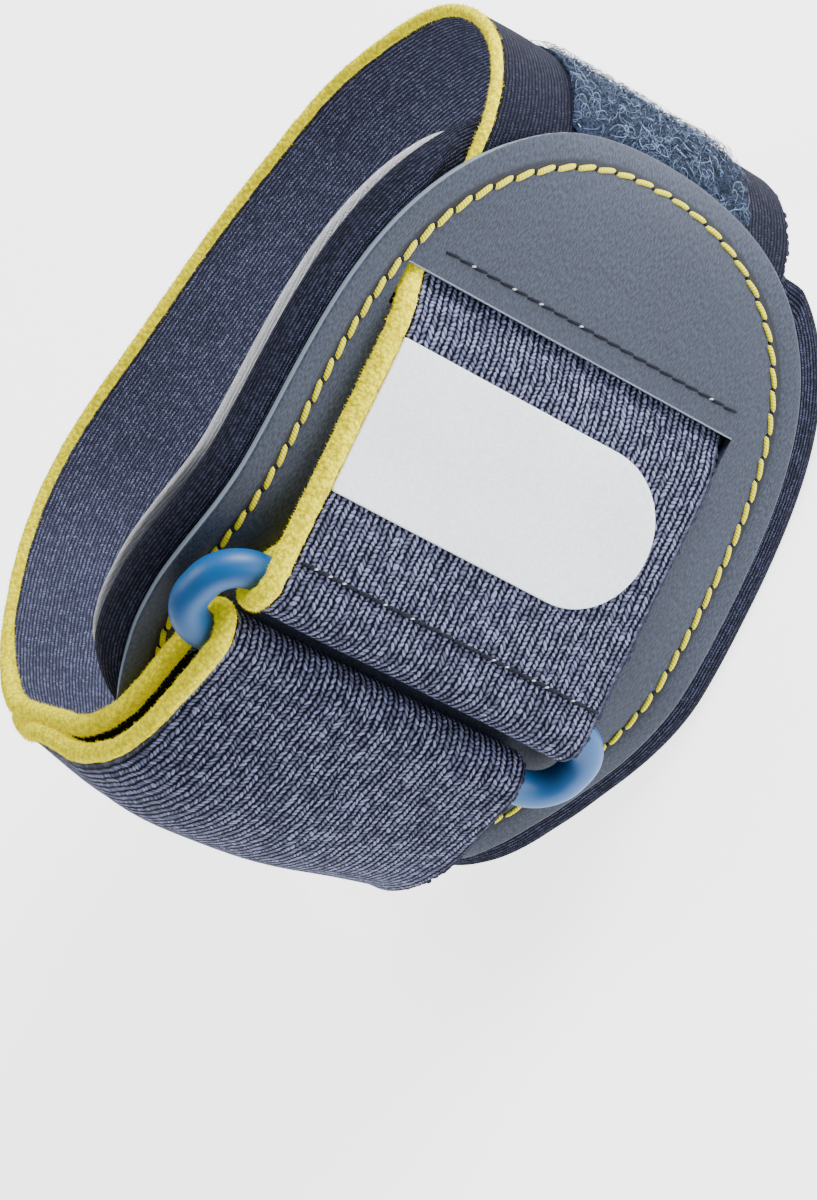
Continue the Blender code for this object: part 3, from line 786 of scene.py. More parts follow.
def grain_group():
    """Grain: fine hills drawn out along one way, with broad soft patches of light and dark."""
    tree, given = new_group("grain", {
        "Place": NO_VECTOR, "Fine": 2600.0, "Turn": NO_VECTOR, "Draw": (1.0, 1.0, 1.0),
    }, ("Height", "Patch"))
    turned = first(tree, "ShaderNodeMapping", {
        "Vector": given["Place"], "Rotation": given["Turn"], "Scale": given["Draw"]})
    add(tree, "NodeGroupOutput", {
        "Height": noise(turned, given["Fine"], 4.0, 0.6), "Patch": noise(given["Place"], 90.0, 3.0)})


GROUPS = {"knit": knit_group, "nap": nap_group, "grain": grain_group}


def shared(tree, name, inputs):
    """Values of a shared group by name. The group is built when it is first asked for."""
    if name not in bpy.data.node_groups:
        GROUPS[name]()
    return results(add(tree, "ShaderNodeGroup", inputs, node_tree=bpy.data.node_groups[name]))


def new_material(name, **plain):
    """Material, its node tree and its shader, with plain values on the shader's own sockets."""
    surface = bpy.data.materials.new(name)
    surface.use_nodes = True
    shader = surface.node_tree.nodes["Principled BSDF"]
    for key, value in plain.items():
        shader.inputs[key.replace("_", " ")].default_value = value
    return surface, surface.node_tree, shader


def feed(shader, colour, roughness=None, height=None, strength=1.0, distance=0.1 * MM):
    """Link what changes over the surface to the shader: colour, roughness and a bump's height."""
    values = {"Base Color": colour, "Roughness": roughness}
    if height is not None:
        values["Normal"] = first(height.tree, "ShaderNodeBump", {
            "Height": height, "Strength": strength, "Distance": distance})
    for key, value in values.items():
        if value is not None:
            value.tree.links.new(value.socket, shader.inputs[key])


def cloth_place(tree):
    """The piece's cloth coordinates."""
    return results(add(tree, "ShaderNodeAttribute", attribute_name="cloth"))["Vector"]


def object_place(tree):
    """The piece's object coordinates."""
    return results(add(tree, "ShaderNodeTexCoord"))["Object"]


def full(colour, share=1.0):
    """Colour with its alpha, made lighter or darker."""
    return (*(min(1.0, channel * share) for channel in colour), 1.0)


def knit_surface(name, yarn, gap_shade, wale, stitch, slant=0.9, depth=0.16 * MM, inside=1.0, **plain):
    """Knit cloth: yarn over dark gaps, which are painted shade, lighter up to the loops' tops as painted
    light, patchy like washed cloth, and with the yarn's relief.

    Before FINE_KNIT_RUN the loops are smaller by the share inside and plainer, with darker yarn
    on the outer side.
    """
    surface, tree, shader = new_material(name, **plain)
    place = cloth_place(tree)
    size, calm = 1.0, 1.0
    if inside < 1.0:
        run, _, side = split(place)
        back = run < FINE_KNIT_RUN
        yarn = mix_colour(back * (side < 0.3), yarn, full(yarn[:3], 0.20))
        size = 1.0 + back * (inside - 1.0)
        calm = 1.0 - back * 0.45
    knit = shared(tree, "knit", {
        "Cloth": place, "Wale": size * wale, "Stitch": size * stitch, "Slant": slant})
    light = 0.25 + noise(place, 160.0, 3.0) * 0.5 + knit["Loop"] ** 2.0 * 1.1
    # Painted light and shade: the colour runs from the dark gap colour low between the loops up to the
    # yarn's full colour on their tops
    shade = knit["Yarn"] * light * calm + (1.0 - calm) * 0.25
    feed(shader, mix_colour(shade, gap_shade, yarn), height=knit["Height"], distance=depth)
    return surface


def terry_surface(name, tip, shade, **plain):
    """Terry nap: bright tips over shaded roots."""
    surface, tree, shader = new_material(name, Roughness=1.0, Specular_IOR_Level=0.15, **plain)
    nap = shared(tree, "nap", {"Place": object_place(tree), "Tufts": 1700.0})
    share = nap["Tips"] * (0.7 + noise(object_place(tree), 300.0) * 0.6)
    feed(shader, mix_colour(share, shade, tip), height=nap["Height"], strength=0.9, distance=0.25 * MM)
    return surface


def ring_surface(colour):
    """Moulded plastic: fine grain, and patches that are a little lighter and a little duller."""
    surface, tree, shader = new_material("satin_ring", Specular_IOR_Level=0.5)
    grain = shared(tree, "grain", {"Place": object_place(tree), "Fine": 3800.0})
    tone = mix_colour(grain["Patch"] * 0.7 + grain["Height"] * 0.45, full(colour, 0.72), full(colour, 1.26))
    dull = 0.38 + grain["Height"] * 0.16
    feed(shader, tone, dull, grain["Height"], strength=0.30, distance=0.05 * MM)
    return surface


def label_surface(colour):
    """Reflective foil: small beads, each a little lighter or darker, with faint patches."""
    surface, tree, shader = new_material("reflective_label", Metallic=0.25, Specular_IOR_Level=0.6)
    place = object_place(tree)
    beads = results(add(tree, "ShaderNodeTexVoronoi", {"Vector": place, "Scale": 4200.0}))["Color"]
    spark = split(beads)[0]
    grain = shared(tree, "grain", {"Place": place, "Fine": 2500.0})
    tone = mix_colour(spark * 0.6 + grain["Patch"] * 0.4, full(colour, 0.82), full(colour, 1.18))
    feed(shader, tone, 0.38 + spark * 0.2, spark, strength=0.12, distance=0.03 * MM)
    return surface


def shell_surface(skin, cut, seam_inset):
    """Shell's skin: drawn-out grain, pale on its cut edges, partly their own colour and partly a painted
    highlight, and with painted shade in the groove of the seam.
    """
    surface, tree, shader = new_material("moulded_shell", Specular_IOR_Level=0.28)
    place = cloth_place(tree)
    grain = shared(tree, "grain", {
        "Place": place, "Fine": 5600.0, "Turn": (0.0, 0.0, 0.10), "Draw": (0.30, 1.0, 0.0)})
    run, height, inset = split(place)
    mixed = grain["Patch"] * 0.2 + spread(grain["Height"], 0.38, 0.66) * 0.8
    tone = mix_colour(mixed, full(skin, 0.40), full(skin, 1.45))
    # Painted shade: the skin darkens along the groove of the seam, where shade falls
    groove = spread(abs(inset - seam_inset), 0.95 * MM, 0.3 * MM)
    tone = mix_colour(groove * 0.8, tone, full(skin, 0.15))
    # The cut edges and the slot's lip are painted pale: partly the cut's own colour, partly a painted
    # highlight where the edge catches the light
    edge = spread(inset, 0.12 * MM, 0.02 * MM)
    lip = spread(abs(run - (SLOT_PLACE + SLOT_RUN / 2)), 0.22 * MM, 0.08 * MM)
    lip = lip * (abs(height) < RING_STRAP_WIDTH / 2 + SLOT_ROOM)
    tone = mix_colour(edge.at_least(lip), tone, full(cut))
    feed(shader, tone, 0.40 + grain["Height"] * 0.25, grain["Height"], strength=0.6, distance=0.06 * MM)
    return surface


def thread_surface(name, colour, gap_shade):
    """Twisted thread: plies that wind round it, on its own cloth coordinates, with painted shade in the
    grooves between the plies.
    """
    surface, tree, shader = new_material(name, Roughness=0.75, Specular_IOR_Level=0.2)
    along, turn, _ = split(cloth_place(tree))
    ply = abs((along / (0.42 * MM) + turn * 2.0).fract() - 0.5) * 2.0
    height = noise(object_place(tree), 6000.0) * 0.5 - ply ** 3.0
    # Painted shade: low between the plies the thread takes the darker gap colour
    tone = mix_colour(spread(height, -0.9, 0.3), gap_shade, colour)
    feed(shader, tone, height=height, strength=0.8, distance=0.08 * MM)
    return surface


def fibre_surface(colour):
    """Fibres of the pile, each as light as its own cloth coordinate says."""
    surface, tree, shader = new_material("pile_fibre", Roughness=0.8, Specular_IOR_Level=0.15)
    lightness = split(cloth_place(tree))[0]
    feed(shader, mix_colour(lightness, full(colour, 0.15), full(colour, 2.1)))
    return surface


def floor_surface(colour, glow):
    """Pale floor with hardly any patches, which gives off a little light itself."""
    surface, tree, shader = new_material("floor", Roughness=0.85, Specular_IOR_Level=0.2,
                                         Emission_Color=(1.0, 1.0, 1.0, 1.0), Emission_Strength=glow)
    feed(shader, mix_colour(noise(object_place(tree), 3.0), full(colour, 0.99), full(colour, 1.01)))
    return surface


def ring_strap_track():
    """Sewn end under the strap, round the upper bar, straight to the slot and under the shell."""
    before_slot = LOOP.at(SLOT_PLACE - SLOT_RUN / 2 - 2 * CLEARANCE, 0.0, ON_SHELL)[:2]
    top = tangent_angle(UPPER_BAR, before_slot, -1)
    leaving = UPPER_BAR + FOLD_RADIUS * np.array((math.cos(top), math.sin(top)))
    run = unit(before_slot - leaving)
    sewn = leaving + run * SEWN_END_LENGTH + np.array((-run[1], run[0])) * LAYER_PITCH
    bottom = tangent_angle(UPPER_BAR, sewn, 1)
    if top < bottom:
        top += 2 * math.pi
    fold = arc(UPPER_BAR, bottom, top)
    slot_runs = np.array((SLOT_PLACE, SLOT_PLACE + SLOT_RUN / 2 + 2 * CLEARANCE))
    slot = LOOP.at(slot_runs, 0.0, np.array((ON_SHELL / 2, 0.0)))[:, :2]
    under = LOOP.at(np.array((SLOT_PLACE + 1.5 * SLOT_RUN, JOIN_PLACE - CLEARANCE)), 0.0, 0.0)[:, :2]
    points = np.vstack((fold[-1], (fold[-1] + before_slot) / 2, before_slot, slot, under))
    over = curve_through(points, TRACK_STEP)
    end = even(np.vstack((sewn, fold[0])), TRACK_STEP)
    return Track(np.vstack((end[:-1], fold, over[1:])))


def tangent_angle(centre, target, side):
    """Angle round a bar at which a straight run to the target leaves the strap's fold."""
    offset = target - centre
    return math.atan2(offset[1], offset[0]) + side * math.acos(FOLD_RADIUS / np.linalg.norm(offset))


def arc(centre, start, end, count=29):
    """Points of the strap's fold round a bar from one angle to another."""
    angle = np.linspace(start, end, count)
    return centre + FOLD_RADIUS * np.column_stack((np.cos(angle), np.sin(angle)))


def main_strap_tracks():
    """Main strap as a whole, zero at its fold round the lower bar, and the part before it.

    The free layer lies off the layer under it by two fold radii at the ring and by one layer's
    pitch further back.
    """
    tip = SHELL_MIDDLE - SHELL_LENGTH / 2
    distance = np.linalg.norm(LOOP.at(LOOP.run, 0.0, RING_DEPTH)[:, :2] - LOWER_BAR, axis=1)
    bar_run = LOOP.run[np.argmin(distance)]
    under = LOOP.at(np.arange(JOIN_PLACE, LOOP.run[-1], 3.5 * MM), 0.0, 0.0)[:, :2]
    outside = LOOP.at(np.linspace(tip + 2 * CLEARANCE, bar_run, 8), 0.0, ON_SHELL)[:, :2]
    inner = curve_through(np.vstack((under[:-1], outside)), TRACK_STEP)
    normal = inward(tangents(inner))
    back = lengths(inner)[-1] - lengths(inner)
    taper = 1.0 - smooth_step(back / FREE_TAPER)
    apart = LAYER_PITCH + FREE_LIFT + (2 * FOLD_RADIUS - LAYER_PITCH - FREE_LIFT) * taper
    outer = inner - normal * apart[:, None]
    outer = outer[back <= FREE_END_LENGTH][::-1]
    start = math.atan2(*(inner[-1] - LOWER_BAR)[::-1])
    fold = arc(LOWER_BAR, start, start - math.pi)
    whole = np.vstack((inner[:-1], fold, outer[1:]))
    return Track(whole, lengths(inner)[-1]), Track(inner, lengths(inner)[-1])


RING_TRACK = ring_strap_track()
MAIN_TRACK, INNER_TRACK = main_strap_tracks()


def main_strap_heights(run):
    """Lower and upper edge of the main strap at runs from its fold."""
    before = smooth_step(1.0 + run / FOLD_LIFT_LENGTH)
    after = 1.0 - smooth_step(2 * run / FOLD_LIFT_LENGTH)
    lift = FOLD_LIFT * before * after
    spread_out = FREE_END_SPREAD * smooth_step(run / FREE_END_LENGTH)
    return lift - MAIN_STRAP_WIDTH / 2 - spread_out, lift + MAIN_STRAP_WIDTH / 2


def main_strap_depth(run, height):
    """Barrel swell of the free layer, whose depth counts away from the arm, and soft waves.

    Across the strap, with s from 0 at its upper edge to 1 at its lower, the swell goes with the
    sine of pi times s to the power 0.75, less 0.45 times the square of s.
    """
    share = np.clip((MAIN_STRAP_WIDTH / 2 - height) / MAIN_STRAP_WIDTH, 0.0, 1.0)
    free = smooth_step((run - SWELL_START) / SWELL_RISE)
    free = free * (1.0 - smooth_step((run - SWELL_END) / SWELL_FALL))
    wave = MAIN_WAVE * ripple(run, height, MAIN_WAVE_LENGTH, SEED) * smooth_step(np.abs(run) / WAVE_RISE)
    return wave + FREE_SWELL * free * (np.sin(math.pi * share ** 0.75) - 0.45 * share ** 2)


def main_strap_slim():
    """Share by which the main strap's edge is rolled tighter, from the back of the loop on."""
    return smooth_step((-MAIN_TRACK.run - SLIM_START) / SLIM_LENGTH)


def main_edge_high(run):
    """Upper side of the main strap's edge, which dips behind the inner layer at the free end."""
    return main_strap_heights(run)[1] - DIP_DEPTH * smooth_step((run - DIP_START) / DIP_LENGTH)


def ring_strap_high(run):
    """Upper edge of the ring strap: its sewn end is tucked in below the layer over it."""
    return RING_STRAP_WIDTH / 2 - SEWN_TUCK * (1.0 - smooth_step(run / (SEWN_END_LENGTH + 2 * FOLD_RADIUS)))


def ring_strap_depth(run, height):
    """Soft waves of the ring strap's webbing, as a depth."""
    return RING_WAVE * ripple(run, height, RING_WAVE_LENGTH, SEED + 1)


def terry_edge(name, track, high, depth, edge_depth, fibres, seed, slim=0.0):
    """Rolled terry edge: an oval tube along the strap's upper edge with a lumpy nap.

    The section is an ellipse, thinner by the share slim, and each point is moved out by a random
    share of the nap. Loose fibres are thin blades that stand on it at random slants.
    """
    random = np.random.default_rng(seed)
    stops = track.run[:, None]
    count, sides = len(stops), 22
    turn = np.linspace(0.0, 2 * math.pi, sides, endpoint=False)[None, :]
    size = (1.0 - np.broadcast_to(slim, count))[:, None]
    half = (EDGE_WIDTH / 2 + 0.15 * MM) * size
    edge_depth = edge_depth * size
    high = high[:, None]
    pinch = np.ones_like(stops)
    pinch[[0, -1]] = 0.1
    pinch[[1, -2]] = 0.7
    lump = 1.0 + 0.035 * ripple(stops, turn * MM, 3.0 * MM, seed) + random.normal(0.0, 0.018, (count, sides))
    height = high - half + np.sin(turn) * half * lump * pinch
    out = np.cos(turn) * edge_depth / 2 * lump * pinch
    points = track.at(stops, height, depth(stops, high) + out)
    caps = np.arange(sides)[None, :]
    row = random.integers(2, count - 2, fibres)
    col = random.integers(0, sides, fibres)
    root = points[row, col]
    lean = unit(unit(root - points[row].mean(axis=1)) + random.normal(0.0, 0.55, (fibres, 3)))
    side = unit(np.cross(lean, random.normal(0.0, 1.0, (fibres, 3)))) * FIBRE_WIDTH
    long = random.uniform(0.12, 0.42, (fibres, 1)) * MM
    blades = np.stack((root - side, root + side, root + lean * long), axis=1)
    faces = [quads(count, sides, close_cols=True), caps, caps + (count - 1) * sides,
             count * sides + np.arange(fibres * 3).reshape(-1, 3)]
    item = make_piece(name, np.concatenate((points.reshape(-1, 3), blades.reshape(-1, 3))), faces)
    item.data.shade_smooth()
    return item


def cut_loops(name, track, low, depth, seed):
    """Small cut loops of yarn that stand out along a strap's lower edge, each its own size."""
    random = np.random.default_rng(seed)
    runs = np.arange(0.6 * MM, track.run[-1] - track.run[0], 0.95 * MM) + track.run[0]
    runs = runs + random.normal(0.0, 0.1 * MM, len(runs))
    heights = np.interp(runs, track.run, low) + random.uniform(-0.05, 0.22, len(runs)) * MM
    shift = depth(runs, heights) + random.uniform(-0.2, 0.2, len(runs)) * MM
    centre = track.at(runs, heights, shift)
    ahead = unit(track.at(runs + 0.2 * MM, heights, shift) - centre)
    up = np.cross(np.broadcast_to((0.0, 0.0, 1.0), ahead.shape), ahead)
    up += random.normal(0.0, 0.3, up.shape)
    up = unit(up - (up * ahead).sum(axis=1)[:, None] * ahead)
    return stitch_row(name, centre, ahead, up, 1.0 * MM, 0.95 * MM, 0.0, steps=7,
                      size=random.uniform(0.75, 1.15, len(runs)))


def stitch_row(name, centre, ahead, up, length, width, height, slant=0.0, sides=8, steps=9, size=1.0):
    """Row of stitches, each a length of thread that arches up out of the cloth and dips back.

    Along a stitch, with s from -1 to 1, the thread's half thickness is the square root of
    1 - s**4 of the full one, and it arches by height times 1 - s**2. size scales each of them.
    """
    turned = ahead * math.cos(slant) + np.cross(up, ahead) * math.sin(slant)
    side = np.cross(up, turned)
    s = np.linspace(-1.0, 1.0, steps)[:, None]
    turn = np.linspace(0.0, 2 * math.pi, sides, endpoint=False)[None, :]
    thick = np.sqrt(np.clip(1.0 - s ** 4, 0.0, 1.0)) * width / 2
    rise = np.sin(turn) * thick * 0.8 + height * (1.0 - s ** 2) - height / 2
    local = np.stack(np.broadcast_arrays(s * length / 2, np.cos(turn) * thick, rise), axis=-1)
    local = local[None] * np.broadcast_to(size, len(centre))[:, None, None, None]
    points = (centre[:, None, None] + local[..., :1] * turned[:, None, None]
              + local[..., 1:2] * side[:, None, None] + local[..., 2:] * up[:, None, None])
    cloth = np.stack(np.broadcast_arrays(s * length / 2, turn / (2 * math.pi), 0.0), axis=-1)
    faces = copies(quads(steps, sides, close_cols=True), steps * sides, len(centre))
    return close_up(make_piece(name, points, faces, np.broadcast_to(cloth, points.shape)))


def along_place(place, runs, heights, level, step=0.2 * MM):
    """Centre, direction and outward normal at spots of a curved ground."""
    centre = place(runs, heights, level)
    by_run = place(runs + step, heights, level) - centre
    by_height = place(runs, heights + step, level) - centre
    return centre, tangents(centre), unit(np.cross(by_run, by_height))


def shell_place(run, height, level):
    """Points of the shell: level 0 is its outer face and 1 its inner, with the seam's groove.

    The groove is a bell curve of the distance from the seam line, and inside the seam the outer
    face rises a little.
    """
    inset = edge_distance(run, height)
    seam = bpy.context.scene.strap_sizes.seam_inset
    groove = GROOVE_DEPTH * np.exp(-((inset - seam) / GROOVE_WIDTH) ** 2)
    swell = SHELL_SWELL * smooth_step((inset - seam) / SHELL_SWELL_REACH)
    sink = (groove - swell) * (1.0 - level)
    return LOOP.at(run, height, SHELL_OUTER + SHELL_THICKNESS * level + sink)


def edge_distance(run, height):
    """About how far inside the shell's outline a place is: its superellipse value, as a length."""
    along = (run - SHELL_MIDDLE) / (SHELL_LENGTH / 2)
    across = (height - SHELL_SHIFT) / (SHELL_WIDTH / 2)
    power = np.where(along > 0.0, OUTLINE_TOP_POWER, OUTLINE_BOTTOM_POWER)
    u = np.maximum(np.abs(along), 1e-6)
    v = np.maximum(np.abs(across), 1e-6)
    value = u ** power + v ** OUTLINE_SIDE_POWER
    slope_u = power * u ** (power - 1) / (SHELL_LENGTH / 2)
    slope_v = OUTLINE_SIDE_POWER * v ** (OUTLINE_SIDE_POWER - 1) / (SHELL_WIDTH / 2)
    return (1.0 - value) / np.maximum(np.hypot(slope_u, slope_v), 1e-3)


def mark_shell(mesh):
    """Cloth coordinates of the cut shell, read back from where its points lie by the loop."""
    points = (mesh_points(mesh) - ORIGIN) @ AXES
    path, runs = LOOP.path[::2], LOOP.run[::2]
    near = np.argmin(np.linalg.norm(points[:, None, :2] - path[None], axis=-1), axis=1)
    run = runs[near] + ((points[:, :2] - path[near]) * tangents(path)[near]).sum(axis=1)
    cloth = np.column_stack((run, points[:, 2], edge_distance(run, points[:, 2])))
    mesh.attributes["cloth"].data.foreach_set("vector", cloth.astype(np.float32).ravel())


def lower_corner(run, height):
    """Share by which a place is in the shell's lower corner on the side of the bright edge."""
    lower = smooth_step((SHELL_MIDDLE + CORNER_RUN - run) / CORNER_BLEND)
    return lower * smooth_step((height - SHELL_SHIFT - CORNER_HEIGHT) / CORNER_BLEND)


def pad_place(run, height, level):
    """Points of the pad: level 0 is its outer face, under the shell and webbing, and 1 its inner.

    The outer face lies close under the shell, and drops under the webbing above the slot. The side
    wall swells between its two faces, and is drawn in along the upper side, where the lining shows.
    """
    upper_side = smooth_step((height - SHELL_SHIFT) / (SHELL_WIDTH / 2))
    run = run + PAD_CORNER_IN * lower_corner(run, height)
    height = height - PAD_DRAWN_IN * upper_side
    above = smooth_step((run - SLOT_PLACE + 2 * SLOT_RUN) / SLOT_RUN)
    beside = np.abs(height) - RING_STRAP_WIDTH / 2 - HOLLOW_PLAY
    under_strap = 1.0 - smooth_step(beside / HOLLOW_BLEND)
    outer = SHELL_INNER + PAD_GAP + above * under_strap * (STRAP_THICKNESS + 2 * CLEARANCE)
    return LOOP.at(run, height, outer + (PAD_INNER - outer) * level)


def lining_place(run, height, level):
    """Points of the lining: level 0 lies on the pad and 1 is the skin side."""
    run = run - LINING_CORNER_OUT * lower_corner(run, height)
    return LOOP.at(run, height, PAD_INNER + LYING_GAP + LINING_THICKNESS * level)


def pile_run(run, height):
    """Run drawn toward the shell near the pile's start, so that the pile begins along its edge."""
    across = np.clip(np.abs(height - SHELL_SHIFT) / (SHELL_WIDTH / 2), 0.0, 1.0)
    bend = SHELL_LENGTH / 2 * (1.0 - (1.0 - across ** OUTLINE_SIDE_POWER) ** (1 / OUTLINE_TOP_POWER))
    return run - bend * (1.0 - smooth_step((run - pile_runs()[0]) / PILE_BLEND))


def pile_place(run, height, level):
    """Points of the loop pile's backing on the outside of the main strap."""
    depth = -(HALF_STRAP + PILE_THICKNESS / 2 * (1.0 - level) + LYING_GAP)
    return INNER_TRACK.at(pile_run(run, height), height, depth)


def pile_runs():
    """Where the loop pile starts past the shell and where it ends under the hook tab."""
    tip = LOOP.at(SHELL_MIDDLE + SHELL_LENGTH / 2, 0.0, 0.0)[:2]
    third = INNER_TRACK.path[:len(INNER_TRACK.path) // 3]
    start = INNER_TRACK.run[np.argmin(np.linalg.norm(third - tip, axis=1))]
    return start + 0.3 * MM, TAB_RUN


def label_place(run, height, level):
    """Points of the label on the ring strap's outer side."""
    depth = ring_strap_depth(run, height) - HALF_STRAP - LABEL_THICKNESS * (1.0 - level) - LABEL_GAP
    return RING_TRACK.at(run, height, depth)


def front_run(x):
    """Run of the ring strap's front layer where it passes a given x."""
    front = RING_TRACK.run > RING_TRACK.run[-1] / 3
    path = RING_TRACK.path[front]
    return float(np.interp(x, path[:, 0], RING_TRACK.run[front]))


def tab_place(run, height, level):
    """Points of the hook tab, which lies on the loop pile."""
    depth = HALF_STRAP + CLEARANCE + PILE_THICKNESS + TAB_THICKNESS * (1.0 - level)
    return INNER_TRACK.at(run, height, -depth)


def slot_cutter():
    """Block through the shell where the slot is."""
    half = RING_STRAP_WIDTH / 2 + SLOT_ROOM
    low, high = SLOT_PLACE - SLOT_RUN / 2, SLOT_PLACE + SLOT_RUN / 2
    corner = np.array([(run, height, depth) for depth in (3 * SHELL_OUTER, PAD_INNER)
                       for run, height in ((low, -half), (high, -half), (high, half), (low, half))])
    faces = np.array(((0, 1, 2, 3), (4, 5, 6, 7), (0, 1, 5, 4), (1, 2, 6, 5), (2, 3, 7, 6), (3, 0, 4, 7)))
    return close_up(make_piece("slot_cutter", LOOP.at(*corner.T), faces))


class ELBOW_OT_shell(Operator):
    """Moulded shell: a curved superellipse plate with a slot, cut through for the ring strap"""

    bl_idname = "elbow_strap.shell"
    bl_label = "Shell"

    def execute(self, context):
        rim = round_rim(0.4 * MM, SHELL_THICKNESS)
        shell = plate("shell_skin", shell_place, shell_outline(0.0, OUTLINE_POINTS), rim, 64)
        cutter = slot_cutter()
        cut = shell.modifiers.new("slot", "BOOLEAN")
        cut.operation = "DIFFERENCE"
        cut.object = cutter
        evaluated = shell.evaluated_get(context.evaluated_depsgraph_get())
        mesh = bpy.data.meshes.new_from_object(evaluated)
        shell.modifiers.clear()
        shell.data = mesh
        bpy.data.objects.remove(cutter)
        mark_shell(mesh)
        mesh.set_sharp_from_angle(angle=math.radians(40))
        sizes, colours = context.scene.strap_sizes, context.scene.strap_colours
        surface = shell_surface(colours.shell, colours.shell_edge_and_highlight, sizes.seam_inset)
        settle(shell, surface, "shell", "shell")
        return {"FINISHED"}


class ELBOW_OT_pad(Operator):
    """Foam pad in a knit cover, under the shell and wider than it, and the pale lining behind it"""

    bl_idname = "elbow_strap.pad"
    bl_label = "Pad and lining"

    def execute(self, context):
        sizes, colours = context.scene.strap_sizes, context.scene.strap_colours
        wale = sizes.pad_wale
        rim = [(inset * MM, level) for inset, level in PAD_SWELL]
        pad = plate("pad_cover", pad_place, shell_outline(PAD_MARGIN, OUTLINE_POINTS), rim, 36, rim_cloth)
        surface = knit_surface("pad_knit", full(colours.pad), full(colours.pad, 0.05), wale,
                               wale * 0.8, depth=0.12 * MM, Roughness=0.9, Specular_IOR_Level=0.10)
        settle(pad, surface, "pad", "pad")
        margin = PAD_MARGIN - LINING_INSET + LINING_SHOWS
        outline = shell_outline(margin, OUTLINE_POINTS)
        rim = round_rim(0.45 * MM, LINING_THICKNESS, lower=0.8)
        lining = plate("lining_cloth", lining_place, outline, rim, 30)
        surface = knit_surface("lining_knit", full(colours.lining), full(colours.lining, 0.8), wale,
                               wale * 0.9, depth=0.08 * MM, Roughness=0.9, Specular_IOR_Level=0.10)
        settle(lining, surface, "lining", "lining")
        return {"FINISHED"}


class ELBOW_OT_webbing(Operator):
    """Knit webbing: the ring strap from the slot round the ring, and the main strap round the arm"""

    bl_idname = "elbow_strap.webbing"
    bl_label = "Webbing"

    def execute(self, context):
        sizes, colours = context.scene.strap_sizes, context.scene.strap_colours
        surface = knit_surface(
            "knit_webbing", full(colours.webbing), full(colours.webbing_gap_shade), sizes.wale, sizes.knit_stitch,
            inside=0.6, Roughness=0.9, Specular_IOR_Level=0.10)
        ring_run, main_run = RING_TRACK.run, MAIN_TRACK.run
        ring_low = np.full(len(ring_run), -RING_STRAP_WIDTH / 2)
        seam = EDGE_WIDTH * 0.6
        main_high = main_edge_high(main_run) - seam * (1.0 - 0.4 * main_strap_slim())
        straps = (
            ("ring", RING_TRACK, ring_low, ring_strap_high(ring_run) - seam, ring_strap_depth, SEED + 2),
            ("main", MAIN_TRACK, main_strap_heights(main_run)[0], main_high, main_strap_depth, SEED + 3),
        )
        for name, track, low, high, depth, seed in straps:
            strap = band(name + "_webbing", track, low, high, depth)
            settle(strap, surface, "webbing", name + "_strap")
            settle(cut_loops(name + "_cut_loops", track, low, depth, seed), surface, "webbing")
        return {"FINISHED"}


class ELBOW_OT_edges(Operator):
    """Rolled terry edges along the upper side of both pieces of webbing"""

    bl_idname = "elbow_strap.edges"
    bl_label = "Terry edges"

    def execute(self, context):
        sizes, colours = context.scene.strap_sizes, context.scene.strap_colours
        # Painted light: the terry edge glows a little, which keeps its yellow bright and strong also where
        # it lies in shade
        surface = terry_surface("terry_edge", full(colours.edge), full(colours.edge_shade),
                                Emission_Color=full(colours.edge), Emission_Strength=0.24)
        edge = terry_edge("ring_terry_edge", RING_TRACK, ring_strap_high(RING_TRACK.run), ring_strap_depth,
                          sizes.edge_depth, sizes.edge_fibres // 3, SEED + 4)
        settle(edge, surface, "coloured_edge", "ring_strap_edge")
        edge = terry_edge("main_terry_edge", MAIN_TRACK, main_edge_high(MAIN_TRACK.run), main_strap_depth,
                          sizes.edge_depth, sizes.edge_fibres, SEED + 5, slim=SLIM_SHARE * main_strap_slim())
        settle(edge, surface, "coloured_edge", "main_strap_edge")
        return {"FINISHED"}


class ELBOW_OT_ring(Operator):
    """Moulded oblong ring: a round section carried round a rectangle with round ends"""

    bl_idname = "elbow_strap.ring"
    bl_label = "Ring"

    def execute(self, context):
        half_long = (RING_LENGTH - RING_TUBE) / 2
        half_wide = BAR_SPACING / 2
        path = slab_outline(-half_wide, half_wide, -half_long, half_long, (RING_CORNER,) * 4, 260)
        normal = outline_normals(path)
        across = (UPPER_BAR - LOWER_BAR) / BAR_SPACING
        middle = (UPPER_BAR + LOWER_BAR) / 2
        square = np.array((-across[1], across[0], 0.0))
        turn = np.linspace(0.0, 2 * math.pi, 28, endpoint=False)[None, :, None]
        flat = path[:, None] + normal[:, None] * np.cos(turn) * RING_TUBE / 2
        spot = np.concatenate((middle + across * flat[..., :1], flat[..., 1:]), axis=-1)
        points = spot + square * np.sin(turn) * RING_TUBE / 2
        ring = close_up(make_piece("moulded_ring", points, quads(*points.shape[:2], True, True)))
        settle(ring, ring_surface(context.scene.strap_colours.ring), "ring", "ring")
        return {"FINISHED"}


class ELBOW_OT_label(Operator):
    """Blank reflective label on the ring strap: straight at the terry edge, round at the other end"""

    bl_idname = "elbow_strap.label"
    bl_label = "Label"

    def execute(self, context):
        high = RING_STRAP_WIDTH / 2 - EDGE_WIDTH - 0.1 * MM
        middle = front_run(LABEL_PLACE)
        half = LABEL_WIDTH / 2
        corners = (half, half, 0.3 * MM, 0.3 * MM)
        outline = slab_outline(middle - half, middle + half, high - LABEL_LENGTH, high, corners, 300)
        label = plate("blank_label", label_place, outline, round_rim(0.2 * MM, LABEL_THICKNESS), 24)
        settle(label, label_surface(context.scene.strap_colours.label), "label", "label")
        return {"FINISHED"}


